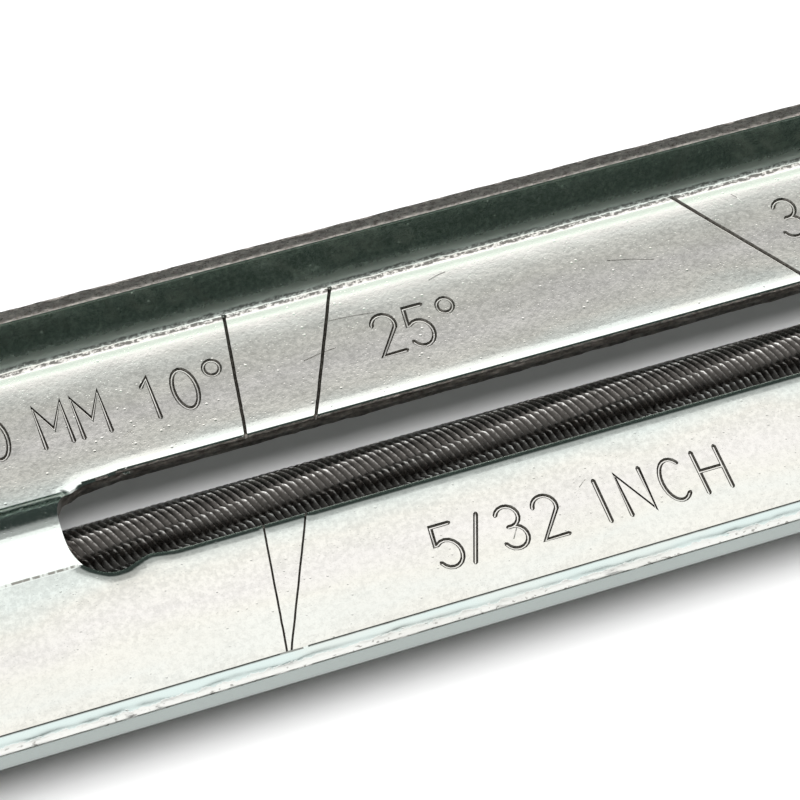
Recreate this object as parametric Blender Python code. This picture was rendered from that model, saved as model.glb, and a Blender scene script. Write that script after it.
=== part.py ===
"""Chainsaw file guide: a stamped, flanged plate with a round file held in its slot by two wing-nut clamps.

Frame: +X runs along the file towards its tip, +Y from the near flange to the far one, +Z up.
The origin is at the middle of the bounding box, at its base: the guide stands on the skirts of
its two clamps and on the belly of the handle. Everything below is in millimetres, in a local
"plate frame" (x = 0 at the plate's middle, z = 0 at the plate's underside), and is placed by
the shift SHIFT_X, BASE_Z.
"""

import math

import bmesh
import bpy
from mathutils import Matrix, Vector

# ---------------------------------------------------------------- driving dimensions, mm
PLATE_LENGTH = 194.0
PLATE_T = 1.3
FLAT_HALF = 13.28          # flat floor of the channel, middle to inner corner
FLANGE_HEIGHT = 4.12       # above the plate's upper face
FLANGE_FLARE = math.radians(14.3)
BEND_IN = 0.5
BEND_OUT = BEND_IN + PLATE_T

SLOT_HALF = 67.05
SLOT_FAR = 3.62
SLOT_NEAR = -3.08
SLOT_CORNER = 2.3

RIDGE_NEAR = -2.30
RIDGE_FAR = 3.05
RIDGE_HEIGHT = 0.92

FILE_D = 3.97              # 5/32 inch
FILE_Y = -0.39
FILE_Z = -1.19             # the file stands a fifth of its diameter above the plate's underside
FILE_TIP = 101.0
FILE_HEEL = -100.0
TANG_END = -139.0

GAP = 0.25                 # between faces that touch on the real object

CLAMP_X = 86.0
CLAMP_WIDTH = 12.0
CLAMP_T = 1.5
WEB_TOP = -2.05
GROOVE_SLOPE = math.radians(40.0)
BOLT_Y = -8.2
BOLT_D = 5.0
HEAD_AF = 8.0
HEAD_H = 3.3
WASHER_OD = 9.6
WASHER_T = 1.0
SPRING_OD = 9.2
SPRING_T = 1.2
NUT_BASE_D = 10.0
NUT_TOP_D = 8.2
NUT_BOSS_H = 5.2
NUT_SPAN = 24.0
NUT_HEIGHT = 11.0
NUT_BORE = BOLT_D + 0.6
NUT_TURN = {"left": math.radians(30.0), "right": math.radians(-25.0)}   # where the wings point at rest
HOOK_Y = 6.3               # inner face of the hook's upright
HOOK_WIDTH = 8.0
HOOK_REACH = 10.3
PIVOT_Y = 8.0
PIVOT_Z = 1.45

HANDLE_R = 9.5
HANDLE_END = -207.0
FERRULE_FRONT = -107.5
FERRULE_REAR = -122.0

BASE_Z = HANDLE_R - FILE_Z                     # plate underside above the surface: 10.69
SHIFT_X = -(FILE_TIP + HANDLE_END) / 2.0       # brings the middle of the length to x = 0

MM = 0.001


def at(x, y, z):
    """Plate frame, millimetres, to the object's frame, metres."""
    return Vector(((x + SHIFT_X) * MM, y * MM, (z + BASE_Z) * MM))


# ---------------------------------------------------------------- helpers
for existing in list(bpy.data.objects):
    bpy.data.objects.remove(existing, do_unlink=True)


def material(name, colour, metallic, roughness):
    mat = bpy.data.materials.new(name)
    mat.use_nodes = True
    shader = mat.node_tree.nodes["Principled BSDF"]
    shader.inputs["Base Color"].default_value = (*colour, 1.0)
    shader.inputs["Metallic"].default_value = metallic
    shader.inputs["Roughness"].default_value = roughness
    mat.diffuse_color = (*colour, 1.0)
    return mat


def new_object(name, bm, mat=None, origin=(0.0, 0.0, 0.0), cutter=False, smooth=None):
    """bm holds millimetres in the plate frame relative to origin, which is in that frame too."""
    bmesh.ops.recalc_face_normals(bm, faces=bm.faces)
    mesh = bpy.data.meshes.new(name)
    bmesh.ops.scale(bm, vec=(MM, MM, MM), verts=bm.verts)
    bm.to_mesh(mesh)
    bm.free()
    obj = bpy.data.objects.new(name, mesh)
    obj.location = at(*origin)
    bpy.context.scene.collection.objects.link(obj)
    if mat is not None:
        mesh.materials.append(mat)
    if smooth is not None:
        mesh.shade_smooth()
        mesh.set_sharp_from_angle(angle=math.radians(smooth))
    if cutter:
        obj.hide_render = True
        obj.display_type = "WIRE"
    return obj


def prism_x(outline, x0, x1):
    """A (y, z) outline extruded along X."""
    bm = bmesh.new()
    a = [bm.verts.new((x0, y, z)) for y, z in outline]
    b = [bm.verts.new((x1, y, z)) for y, z in outline]
    bm.faces.new(a)
    bm.faces.new(list(reversed(b)))
    n = len(outline)
    for i in range(n):
        j = (i + 1) % n
        bm.faces.new((a[j], a[i], b[i], b[j]))
    return bm


def prism_z(outline, z0, z1):
    """An (x, y) outline extruded along Z."""
    bm = bmesh.new()
    a = [bm.verts.new((x, y, z0)) for x, y in outline]
    b = [bm.verts.new((x, y, z1)) for x, y in outline]
    bm.faces.new(list(reversed(a)))
    bm.faces.new(b)
    n = len(outline)
    for i in range(n):
        j = (i + 1) % n
        bm.faces.new((a[i], a[j], b[j], b[i]))
    return bm


def prism_y(outline, y0, y1):
    """An (x, z) outline extruded along Y."""
    bm = bmesh.new()
    a = [bm.verts.new((x, y0, z)) for x, z in outline]
    b = [bm.verts.new((x, y1, z)) for x, z in outline]
    bm.faces.new(a)
    bm.faces.new(list(reversed(b)))
    n = len(outline)
    for i in range(n):
        j = (i + 1) % n
        bm.faces.new((a[j], a[i], b[i], b[j]))
    return bm


def lathe(profile, segments, axis="Z", closed=True):
    """A profile of (radius, height) points turned about the axis. Points with radius 0 become poles.
    closed joins the last point to the first, for a ring."""
    bm = bmesh.new()
    rings = []
    for r, h in profile:
        if r < 1e-6:
            rings.append([bm.verts.new(_on(axis, 0.0, 0.0, h))])
        else:
            rings.append(
                [
                    bm.verts.new(
                        _on(
                            axis,
                            r * math.cos(2 * math.pi * i / segments),
                            r * math.sin(2 * math.pi * i / segments),
                            h,
                        )
                    )
                    for i in range(segments)
                ]
            )
    pairs = list(zip(rings, rings[1:]))
    if closed:
        pairs.append((rings[-1], rings[0]))
    for a, b in pairs:
        if len(a) == 1 and len(b) == 1:
            continue
        for i in range(segments):
            j = (i + 1) % segments
            if len(a) == 1:
                bm.faces.new((a[0], b[j], b[i]))
            elif len(b) == 1:
                bm.faces.new((a[i], a[j], b[0]))
            else:
                bm.faces.new((a[i], a[j], b[j], b[i]))
    return bm


def _on(axis, u, v, h):
    return (u, v, h) if axis == "Z" else (h, u, v)


def arc(cx, cy, r, a0, a1, steps):
    return [
        (
            cx + r * math.cos(a0 + (a1 - a0) * i / steps),
            cy + r * math.sin(a0 + (a1 - a0) * i / steps),
        )
        for i in range(steps + 1)
    ]


def boolean(obj, other, operation):
    mod = obj.modifiers.new(operation.lower() + "_" + other.name, "BOOLEAN")
    mod.operation = operation
    mod.object = other
    mod.solver = "EXACT"
    return mod


# ---------------------------------------------------------------- materials
zinc = material("zinc_plated_sheet", (0.78, 0.77, 0.74), 1.0, 0.33)
file_steel = material("file_steel", (0.10, 0.10, 0.095), 1.0, 0.42)
clamp_steel = material("clamp_steel", (0.62, 0.61, 0.58), 1.0, 0.36)
fastener = material("fastener_steel", (0.70, 0.70, 0.68), 1.0, 0.28)
wood = material("turned_wood", (0.56, 0.33, 0.15), 0.0, 0.42)
ferrule_steel = material("ferrule_steel", (0.72, 0.71, 0.69), 1.0, 0.25)


# ---------------------------------------------------------------- plate
def channel_outline():
    """Cross-section of the sheet: flat floor, two upturned flanges that flare outwards."""
    rise = math.pi / 2 - FLANGE_FLARE          # angle that the bend turns through
    reach = BEND_IN * math.tan(rise / 2)
    inner = []
    # inner corner, far side: from the floor up the flange
    cy, cz = FLAT_HALF - reach, PLATE_T + BEND_IN
    inner += arc(cy, cz, BEND_IN, -math.pi / 2, -math.pi / 2 + rise, 3)
    top_y = FLAT_HALF + FLANGE_HEIGHT * math.tan(FLANGE_FLARE)
    top_z = PLATE_T + FLANGE_HEIGHT
    out_y = top_y + PLATE_T * math.cos(FLANGE_FLARE)
    out_z = top_z - PLATE_T * math.sin(FLANGE_FLARE)
    outer = list(reversed(arc(cy, cz, BEND_OUT, -math.pi / 2, -math.pi / 2 + rise, 6)))
    far = inner + [(top_y, top_z), (out_y, out_z)] + outer
    near = [(-y, z) for y, z in reversed(far)]
    return far + near


def slot_outline(grow=0.0):
    """Rounded slot, seen from above."""
    r = SLOT_CORNER
    far, near, half = SLOT_FAR + grow, SLOT_NEAR - grow, SLOT_HALF + grow
    pts = []
    pts += arc(half - r, far - r, r, 0.0, math.pi / 2, 5)
    pts += arc(-half + r, far - r, r, math.pi / 2, math.pi, 5)
    pts += arc(-half + r, near + r, r, math.pi, 1.5 * math.pi, 5)
    pts += arc(half - r, near + r, r, 1.5 * math.pi, 2 * math.pi, 5)
    return pts


def ridge_outline():
    """The raised rib that lets the file lie in the plate beyond the slot."""
    mid = (RIDGE_NEAR + RIDGE_FAR) / 2
    half = (RIDGE_FAR - RIDGE_NEAR) / 2
    top = []
    steps = 12
    for i in range(steps + 1):
        u = -1 + 2 * i / steps
        top.append((mid + half * u, PLATE_T + RIDGE_HEIGHT * (math.cos(math.pi * u / 2) ** 1.25)))
    return [(RIDGE_NEAR, PLATE_T - 0.5)] + top + [(RIDGE_FAR, PLATE_T - 0.5)]


half_len = PLATE_LENGTH / 2
plate = new_object(
    "guide_plate",
    prism_x(channel_outline(), -half_len, half_len),
    zinc,
)

ridge_left = new_object(
    "ridge_left_tool", prism_x(ridge_outline(), -half_len, -SLOT_HALF + 1.2), cutter=True
)
ridge_right = new_object(
    "ridge_right_tool", prism_x(ridge_outline(), SLOT_HALF - 1.2, half_len), cutter=True
)
boolean(plate, ridge_left, "UNION")
boolean(plate, ridge_right, "UNION")

slot_tool = new_object("slot_tool", prism_z(slot_outline(), -1.0, 4.0), cutter=True)
boolean(plate, slot_tool, "DIFFERENCE")

# the groove pressed up into the underside over the file, at both ends
groove_r = FILE_D / 2 + 0.4
groove_tool = new_object(
    "groove_tool",
    lathe(
        [(0.0, -half_len - 2), (groove_r, -half_len - 2), (groove_r, half_len + 2), (0.0, half_len + 2)],
        32,
        axis="X",
        closed=False,
    ),
    origin=(0.0, FILE_Y, FILE_Z),
    cutter=True,
)
boolean(plate, groove_tool, "DIFFERENCE")

for side, sx in (("left", -1.0), ("right", 1.0)):
    x = sx * CLAMP_X
    hole = new_object(
        "bolt_hole_tool_" + side,
        lathe([(0.0, -1.0), (BOLT_D / 2 + 0.4, -1.0), (BOLT_D / 2 + 0.4, 3.0), (0.0, 3.0)], 24, closed=False),
        origin=(x, BOLT_Y, 0.0),
        cutter=True,
    )
    boolean(plate, hole, "DIFFERENCE")
    hw = HOOK_WIDTH / 2 + 0.35
    window = new_object(
        "hook_window_tool_" + side,
        prism_z(
            [(-hw, HOOK_Y - 0.35), (hw, HOOK_Y - 0.35), (hw, HOOK_Y + CLAMP_T + 0.35), (-hw, HOOK_Y + CLAMP_T + 0.35)],
            -1.0,
            3.0,
        ),
        origin=(x, 0.0, 0.0),
        cutter=True,
    )
    boolean(plate, window, "DIFFERENCE")
    # each flange is cut back at a slant where the sheet ends
    slant = new_object(
        "end_cut_tool_" + side,
        prism_y(
            [
                (sx * (half_len + 3.0), PLATE_T + 0.9),
                (sx * (half_len - 1.0), PLATE_T + 0.9),
                (sx * (half_len - 5.5), PLATE_T + FLANGE_HEIGHT + 1.0),
                (sx * (half_len + 3.0), PLATE_T + FLANGE_HEIGHT + 1.0),
            ],
            -20.0,
            20.0,
        ),
        cutter=True,
    )
    # the rib stays whole: only the strips outside it are trimmed
    boolean(plate, slant, "DIFFERENCE")


# ---------------------------------------------------------------- round file
fr = FILE_D / 2
file_profile = [
    (0.0, FILE_TIP),
    (fr - 0.45, FILE_TIP),
    (fr - 0.12, FILE_TIP - 0.5),
    (fr, FILE_TIP - 22.0),
    (fr, FILE_HEEL),
    (fr - 0.05, FILE_HEEL - 1.0),
    (fr - 0.05, FERRULE_FRONT - 3.0),
    (fr - 0.35, FERRULE_FRONT - 6.0),
    (0.95, TANG_END + 3.0),
    (0.55, TANG_END),
    (0.0, TANG_END),
]
round_file = new_object(
    "round_file",
    lathe([(r, h) for r, h in file_profile], 24, axis="X", closed=False),
    file_steel,
    origin=(0.0, FILE_Y, FILE_Z),
    smooth=40,
)


# ---------------------------------------------------------------- handle and ferrule
def handle_radius(s):
    """Radius of the turned handle, s from 0 at the ferrule's rear to 1 at the butt."""
    waist = 7.05
    if s < 0.10:
        return 7.55 - 0.5 * math.sin(math.pi / 2 * s / 0.10)
    if s < 0.62:
        k = (s - 0.10) / 0.52
        return waist + (HANDLE_R - waist) * (0.5 - 0.5 * math.cos(math.pi * k))
    k = (s - 0.62) / 0.38
    return HANDLE_R - 1.3 * (0.5 - 0.5 * math.cos(math.pi * min(k, 1.0)))


def handle_profile():
    pts = [
        (fr + 0.35, FERRULE_FRONT - 1.2),
        (5.55, FERRULE_FRONT - 1.2),
        (5.75, FERRULE_FRONT - 1.6),
        (5.85, FERRULE_REAR + 0.2),
        (5.85, FERRULE_REAR - GAP),
        (7.3, FERRULE_REAR - GAP),
        (7.55, FERRULE_REAR - GAP - 0.5),
    ]
    start = FERRULE_REAR - GAP - 0.5
    butt = HANDLE_END + 4.2
    for i in range(1, 17):
        s = i / 16
        pts.append((handle_radius(s), start + (butt - start) * s))
    end_r = handle_radius(1.0)
    for i in range(1, 6):
        a = math.pi / 2 * i / 5
        pts.append((end_r * (1 - 0.62 * (1 - math.cos(a))), butt - 4.2 * math.sin(a)))
    pts.append((0.0, HANDLE_END))
    # the bore that takes the tang, from its blind end out to the front
    pts.append((0.0, TANG_END - 1.2))
    pts.append((0.95, TANG_END - 0.8))
    pts.append((1.35, TANG_END + 3.0))
    pts.append((fr + 0.1, FERRULE_FRONT - 6.0))
    pts.append((fr + 0.35, FERRULE_FRONT - 3.0))
    return pts


def lathe_open(profile, segments):
    """Like lathe, but the outline crosses the axis twice: the outer skin ends in a pole at the butt and
    the bore begins at another pole, and the last point joins the first at the bore's mouth."""
    bm = bmesh.new()
    rings = []
    for r, h in profile:
        if r < 1e-6:
            rings.append([bm.verts.new((h, 0.0, 0.0))])
        else:
            rings.append(
                [
                    bm.verts.new(
                        (
                            h,
                            r * math.cos(2 * math.pi * i / segments),
                            r * math.sin(2 * math.pi * i / segments),
                        )
                    )
                    for i in range(segments)
                ]
            )
    for a, b in list(zip(rings, rings[1:])) + [(rings[-1], rings[0])]:
        if len(a) == 1 and len(b) == 1:
            continue
        for i in range(segments):
            j = (i + 1) % segments
            if len(a) == 1:
                bm.faces.new((a[0], b[j], b[i]))
            elif len(b) == 1:
                bm.faces.new((a[i], a[j], b[0]))
            else:
                bm.faces.new((a[i], a[j], b[j], b[i]))
    return bm


handle = new_object(
    "handle",
    lathe_open(handle_profile(), 24),
    wood,
    origin=(0.0, FILE_Y, FILE_Z),
    smooth=35,
)

ferrule_profile = [
    (3.4, FERRULE_FRONT - 0.15),
    (5.9, FERRULE_FRONT),
    (6.45, FERRULE_FRONT - 0.35),
    (6.70, FERRULE_FRONT - 1.1),
    (6.95, FERRULE_FRONT - 10.4),
    (7.15, FERRULE_FRONT - 11.0),
    (7.15, FERRULE_FRONT - 11.8),
    (6.98, FERRULE_FRONT - 12.4),
    (6.98, FERRULE_REAR),
    (6.1, FERRULE_REAR),
    (6.0, FERRULE_FRONT - 1.5),
    (5.7, FERRULE_FRONT - 0.95),
    (3.4, FERRULE_FRONT - 0.95),
]
ferrule = new_object(
    "ferrule",
    lathe(ferrule_profile, 24, axis="X"),
    ferrule_steel,
    origin=(0.0, FILE_Y, FILE_Z),
    smooth=35,
)


# ---------------------------------------------------------------- clamps
def web_outline():
    """The clamp's web across the plate: flat under the bolt, a V for the file, up to the hook."""
    t = CLAMP_T
    apex_drop = (FILE_D / 2 + 0.3) / math.sin(math.pi / 2 - GROOVE_SLOPE)
    apex_z = FILE_Z - apex_drop
    run = (WEB_TOP - apex_z) / math.tan(GROOVE_SLOPE)
    shift = t * math.tan(GROOVE_SLOPE / 2)
    near, far = -13.4, HOOK_Y + t
    top = [
        (near, WEB_TOP),
        (FILE_Y - run, WEB_TOP),
        (FILE_Y - 0.35, apex_z + 0.35 * math.tan(GROOVE_SLOPE)),
        (FILE_Y + 0.35, apex_z + 0.35 * math.tan(GROOVE_SLOPE)),
        (FILE_Y + run, WEB_TOP),
        (HOOK_Y - 0.6, WEB_TOP),
        (HOOK_Y, WEB_TOP + 0.6),
    ]
    drop = t / math.cos(GROOVE_SLOPE)
    bottom = [
        (far, WEB_TOP + 0.6),
        (far, WEB_TOP - t + 1.2),
        (far - 0.5, WEB_TOP - t + 0.3),
        (far - 1.4, WEB_TOP - t),
        (FILE_Y + run + shift, WEB_TOP - t),
        (FILE_Y + 0.5, apex_z - drop + 0.5 * math.tan(GROOVE_SLOPE)),
        (FILE_Y - 0.5, apex_z - drop + 0.5 * math.tan(GROOVE_SLOPE)),
        (FILE_Y - run - shift, WEB_TOP - t),
        (near, WEB_TOP - t),
    ]
    return top + bottom


def skirt_outline():
    """One side wall of the clamp, which stiffens it and serves as its foot."""
    low = -BASE_Z
    apex_drop = (FILE_D / 2 + 0.3) / math.sin(math.pi / 2 - GROOVE_SLOPE)
    apex_z = FILE_Z - apex_drop
    run = (WEB_TOP - apex_z) / math.tan(GROOVE_SLOPE)
    d = 0.35                    # the wall stays a little under the web's upper face
    far = HOOK_Y + CLAMP_T
    pts = [
        (-13.4, WEB_TOP - d),
        (FILE_Y - run - 0.13, WEB_TOP - d),
        (FILE_Y - 0.4, apex_z - d),
        (FILE_Y + 0.4, apex_z - d),
        (FILE_Y + run + 0.13, WEB_TOP - d),
        (far - 0.7, WEB_TOP - d),
        (far, WEB_TOP - 1.2),
        (far, -6.2),
        (far - 2.4, low + 0.5),
        (far - 3.0, low),
        (-10.6, low),
        (-11.2, low + 0.5),
        (-13.4, -6.0),
    ]
    return pts


def hook_outline():
    """The upright at the far end: up through the window in the plate and over its upper face."""
    t = CLAMP_T
    lip_z = PLATE_T + GAP
    return [
        (HOOK_Y, WEB_TOP - 0.6),
        (HOOK_Y + t, WEB_TOP - 0.6),
        (HOOK_Y + t, lip_z),
        (HOOK_REACH, lip_z),
        (HOOK_REACH, lip_z + t - 0.3),
        (HOOK_REACH - 0.3, lip_z + t),
        (HOOK_Y + 1.2, lip_z + t),
        (HOOK_Y + 0.35, lip_z + t - 0.35),
        (HOOK_Y, lip_z + t - 1.2),
    ]


def wing_outline():
    """One wing of the nut, (x, z) with the boss at x = 0 and z = 0 at the nut's seat."""
    tip = NUT_SPAN / 2
    return [
        (1.5, 1.6),
        (4.6, 1.7),
        (6.6, 2.6),
        (8.6, 4.6),
        (10.6, 6.6),
        (11.7, 8.0),
        (tip, 9.3),
        (11.7, 10.4),
        (10.9, NUT_HEIGHT),
        (9.8, 10.9),
        (8.6, 10.2),
        (7.2, 8.6),
        (5.6, 6.6),
        (4.4, 5.4),
        (1.5, NUT_BOSS_H - 0.3),
    ]


SEAT_1 = PLATE_T + GAP                       # flat washer's underside
SEAT_2 = SEAT_1 + WASHER_T + GAP             # spring washer's underside
SEAT_3 = SEAT_2 + SPRING_T + GAP             # wing nut's seat
BOLT_TOP = SEAT_3 + NUT_BOSS_H + 2.4
HEAD_TOP = WEB_TOP - CLAMP_T - GAP


def spring_washer_mesh():
    """A split ring whose ends stand a little apart, one above the other."""
    bm = bmesh.new()
    inner, outer = BOLT_D / 2 + 0.3, SPRING_OD / 2
    steps, lift, thick = 24, 0.22, SPRING_T - 0.24
    rings = []
    for i in range(steps + 1):
        a = math.radians(8.0) + math.radians(344.0) * i / steps
        z = lift * i / steps
        rings.append(
            [
                bm.verts.new((r * math.cos(a), r * math.sin(a), h + z))
                for r, h in ((inner, 0.0), (outer, 0.0), (outer, thick), (inner, thick))
            ]
        )
    for a, b in zip(rings, rings[1:]):
        for k in range(4):
            m = (k + 1) % 4
            bm.faces.new((a[k], a[m], b[m], b[k]))
    bm.faces.new(list(reversed(rings[0])))
    bm.faces.new(rings[-1])
    return bm


for side, sx in (("left", -1.0), ("right", 1.0)):
    x = sx * CLAMP_X
    half = CLAMP_WIDTH / 2

    # the clamp turns about the lip of its hook, which is its origin
    pivot = (x, PIVOT_Y, PIVOT_Z)
    clamp = new_object(
        "clamp_" + side,
        prism_x([(y - PIVOT_Y, z - PIVOT_Z) for y, z in web_outline()], -half, half),
        clamp_steel,
        origin=pivot,
    )
    for index, wall in enumerate((-1.0, 1.0)):
        x_out = wall * half
        x_in = wall * (half - CLAMP_T)
        skirt = new_object(
            "skirt_tool_%s_%d" % (side, index),
            prism_x(
                [(y - PIVOT_Y, z - PIVOT_Z) for y, z in skirt_outline()],
                min(x_out, x_in),
                max(x_out, x_in),
            ),
            origin=pivot,
            cutter=True,
        )
        boolean(clamp, skirt, "UNION")
    hook = new_object(
        "hook_tool_" + side,
        prism_x([(y - PIVOT_Y, z - PIVOT_Z) for y, z in hook_outline()], -HOOK_WIDTH / 2, HOOK_WIDTH / 2),
        origin=pivot,
        cutter=True,
    )
    boolean(clamp, hook, "UNION")
    # long hole for the bolt, so that the clamp can swing while the bolt stays upright
    lo, hi, hr = -3.5 + 2.9, 2.9 - 2.9, 2.9
    long_hole = new_object(
        "clamp_hole_tool_" + side,
        prism_z(
            arc(0.0, hi, hr, 0.0, math.pi, 10) + arc(0.0, lo, hr, math.pi, 2 * math.pi, 10),
            -2.0,
            2.0,
        ),
        origin=(x, BOLT_Y, WEB_TOP - CLAMP_T / 2),
        cutter=True,
    )
    boolean(clamp, long_hole, "DIFFERENCE")

    # hexagon bolt, head captive between the clamp's side walls
    bolt = new_object(
        "clamp_bolt_" + side,
        lathe(
            [
                (0.0, HEAD_TOP - 0.8),
                (BOLT_D / 2, HEAD_TOP - 0.8),
                (BOLT_D / 2, BOLT_TOP - 0.7),
                (BOLT_D / 2 - 0.7, BOLT_TOP),
                (0.0, BOLT_TOP),
            ],
            20,
            closed=False,
        ),
        fastener,
        origin=(x, BOLT_Y, 0.0),
        smooth=35,
    )
    corner = HEAD_AF / 2 / math.cos(math.pi / 6)
    hexagon = [
        (corner * math.cos(math.pi / 2 + math.pi / 3 * k), corner * math.sin(math.pi / 2 + math.pi / 3 * k))
        for k in range(6)
    ]
    head = new_object(
        "bolt_head_tool_" + side,
        prism_z(hexagon, HEAD_TOP - HEAD_H, HEAD_TOP),
        origin=(x, BOLT_Y, 0.0),
        cutter=True,
    )
    boolean(bolt, head, "UNION")

    new_object(
        "flat_washer_" + side,
        lathe(
            [
                (BOLT_D / 2 + 0.3, SEAT_1),
                (WASHER_OD / 2 - 0.15, SEAT_1),
                (WASHER_OD / 2, SEAT_1 + 0.15),
                (WASHER_OD / 2, SEAT_1 + WASHER_T - 0.15),
                (WASHER_OD / 2 - 0.15, SEAT_1 + WASHER_T),
                (BOLT_D / 2 + 0.3, SEAT_1 + WASHER_T),
            ],
            28,
        ),
        fastener,
        origin=(x, BOLT_Y, 0.0),
        smooth=35,
    )
    new_object(
        "spring_washer_" + side,
        spring_washer_mesh(),
        fastener,
        origin=(x, BOLT_Y, SEAT_2),
        smooth=35,
    )

    # wing nut: origin on the bolt's axis
    nut = new_object(
        "wing_nut_" + side,
        lathe(
            [
                (NUT_BORE / 2, 0.0),
                (NUT_BASE_D / 2 - 0.3, 0.0),
                (NUT_BASE_D / 2, 0.3),
                (NUT_TOP_D / 2, NUT_BOSS_H - 0.4),
                (NUT_TOP_D / 2 - 0.4, NUT_BOSS_H),
                (NUT_BORE / 2, NUT_BOSS_H),
            ],
            24,
        ),
        fastener,
        origin=(x, BOLT_Y, SEAT_3),
        smooth=35,
    )
    for index, way in enumerate((-1.0, 1.0)):
        outline = [(way * (px + 1.6), pz) for px, pz in wing_outline() if px < 2.0]
        body = [(way * px, pz) for px, pz in wing_outline() if px >= 2.0]
        wing_pts = [outline[0]] + body + [outline[1]]
        wing_body = prism_y(wing_pts, -1.0, 1.0)
        bmesh.ops.rotate(
            wing_body,
            cent=(0.0, 0.0, 0.0),
            matrix=Matrix.Rotation(NUT_TURN[side], 3, "Z"),
            verts=wing_body.verts,
        )
        wing = new_object(
            "wing_tool_%s_%d" % (side, index),
            wing_body,
            origin=(x, BOLT_Y, SEAT_3),
            cutter=True,
        )
        boolean(nut, wing, "UNION")
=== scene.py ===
"""Looks of the chainsaw file guide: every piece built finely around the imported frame, with its finish.

Sizes are in millimetres in the plate's own frame (x = 0 at the plate's middle, z = 0 at the plate's
underside). place() brings them to the object's frame in metres.
"""

import math

import bmesh
import bpy
import numpy as np
from mathutils import Matrix, Vector, noise


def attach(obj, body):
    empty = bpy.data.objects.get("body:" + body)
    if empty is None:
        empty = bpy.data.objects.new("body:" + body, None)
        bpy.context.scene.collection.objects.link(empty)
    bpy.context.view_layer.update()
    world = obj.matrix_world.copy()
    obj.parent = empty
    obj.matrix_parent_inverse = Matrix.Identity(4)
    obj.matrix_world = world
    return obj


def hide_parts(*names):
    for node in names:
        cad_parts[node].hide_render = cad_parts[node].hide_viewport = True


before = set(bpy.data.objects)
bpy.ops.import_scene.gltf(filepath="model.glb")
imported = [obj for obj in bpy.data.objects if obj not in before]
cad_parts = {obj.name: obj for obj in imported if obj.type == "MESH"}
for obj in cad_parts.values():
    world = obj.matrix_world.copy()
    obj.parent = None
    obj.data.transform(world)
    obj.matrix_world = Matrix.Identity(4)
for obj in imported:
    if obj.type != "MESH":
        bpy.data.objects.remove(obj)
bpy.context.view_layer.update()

# ---------------------------------------------------------------- dimensions, mm
PLATE_LENGTH = 194.0
PLATE_T = 1.3
FLAT_HALF = 13.28
FLANGE_HEIGHT = 4.12
FLARE = math.radians(14.3)
BEND_IN = 0.5
BEND_FAR = 0.85

SLOT_HALF = 67.05
SLOT_FAR = 3.62
SLOT_NEAR = -3.08
ROLL_FAR = (0.76, 0.135)    # how far, and how deep, the punch drew the far strip's edge down
ROLL_NEAR = (0.75, 0.05)

RIDGE_NEAR = -2.30
RIDGE_FAR = 3.25
RIDGE_HEIGHT = 0.92

FILE_D = 3.97
FILE_Y = -0.39
FILE_Z = -1.19
FILE_TIP = 101.0
FILE_HEEL = -100.0
TANG_END = -139.0

GAP = 0.25
CLAMP_X = 86.0
CLAMP_WIDTH = 12.0
CLAMP_T = 1.5
WEB_TOP = -2.05
GROOVE_SLOPE = math.radians(40.0)
BOLT_Y = -8.2
BOLT_D = 5.0
HEAD_AF = 8.0
HEAD_H = 3.3
WASHER_OD = 9.6
WASHER_T = 1.0
SPRING_OD = 9.2
SPRING_T = 1.2
NUT_BASE_D = 10.0
NUT_TOP_D = 8.2
NUT_BOSS_H = 5.2
NUT_SPAN = 24.0
NUT_HEIGHT = 11.0
NUT_BORE = BOLT_D + 0.6
NUT_TURN = {"left": math.radians(30.0), "right": math.radians(-25.0)}   # where the wings point at rest
HOOK_Y = 6.3
HOOK_WIDTH = 8.0
HOOK_REACH = 10.3

HANDLE_R = 9.5
HANDLE_END = -207.0
FERRULE_FRONT = -107.5
FERRULE_REAR = -122.0

BASE_Z = HANDLE_R - FILE_Z
SHIFT_X = -(FILE_TIP + HANDLE_END) / 2.0
MM = 0.001

SEAT_1 = PLATE_T + GAP
SEAT_2 = SEAT_1 + WASHER_T + GAP
SEAT_3 = SEAT_2 + SPRING_T + GAP
BOLT_TOP = SEAT_3 + NUT_BOSS_H + 2.4
HEAD_TOP = WEB_TOP - CLAMP_T - GAP

SIDES = (("left", -1.0), ("right", 1.0))

# ---------------------------------------------------------------- camera
camera_data = bpy.data.cameras.new("camera")
camera_data.sensor_width = 36.0
camera_data.lens = 144.2
camera_data.clip_start = 0.01
camera_data.clip_end = 20.0
camera = bpy.data.objects.new("camera", camera_data)
bpy.context.scene.collection.objects.link(camera)
cam_right = Vector((0.93275616, -0.35178422, 0.07882774))
cam_up = Vector((0.25802296, 0.80414569, 0.5355127))
cam_back = Vector((-0.25177391, -0.4791634, 0.84084025))
pose = Matrix((cam_right, cam_up, cam_back)).transposed().to_4x4()
pose.translation = Vector((-43.447, -99.510, 192.074)) * MM
camera.matrix_world = pose
bpy.context.scene.camera = camera

scene = bpy.context.scene
scene.view_settings.view_transform = "Standard"
scene.view_settings.look = "None"
scene.view_settings.exposure = 0.0
scene.view_settings.gamma = 1.0


# ---------------------------------------------------------------- mesh helpers
def mesh_object(name, verts, faces):
    mesh = bpy.data.meshes.new(name)
    mesh.from_pydata([tuple(map(float, v)) for v in verts], [], faces)
    obj = bpy.data.objects.new(name, mesh)
    bpy.context.scene.collection.objects.link(obj)
    return obj


def from_bmesh(name, bm):
    bmesh.ops.recalc_face_normals(bm, faces=bm.faces)
    mesh = bpy.data.meshes.new(name)
    bm.to_mesh(mesh)
    bm.free()
    obj = bpy.data.objects.new(name, mesh)
    bpy.context.scene.collection.objects.link(obj)
    return obj


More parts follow.
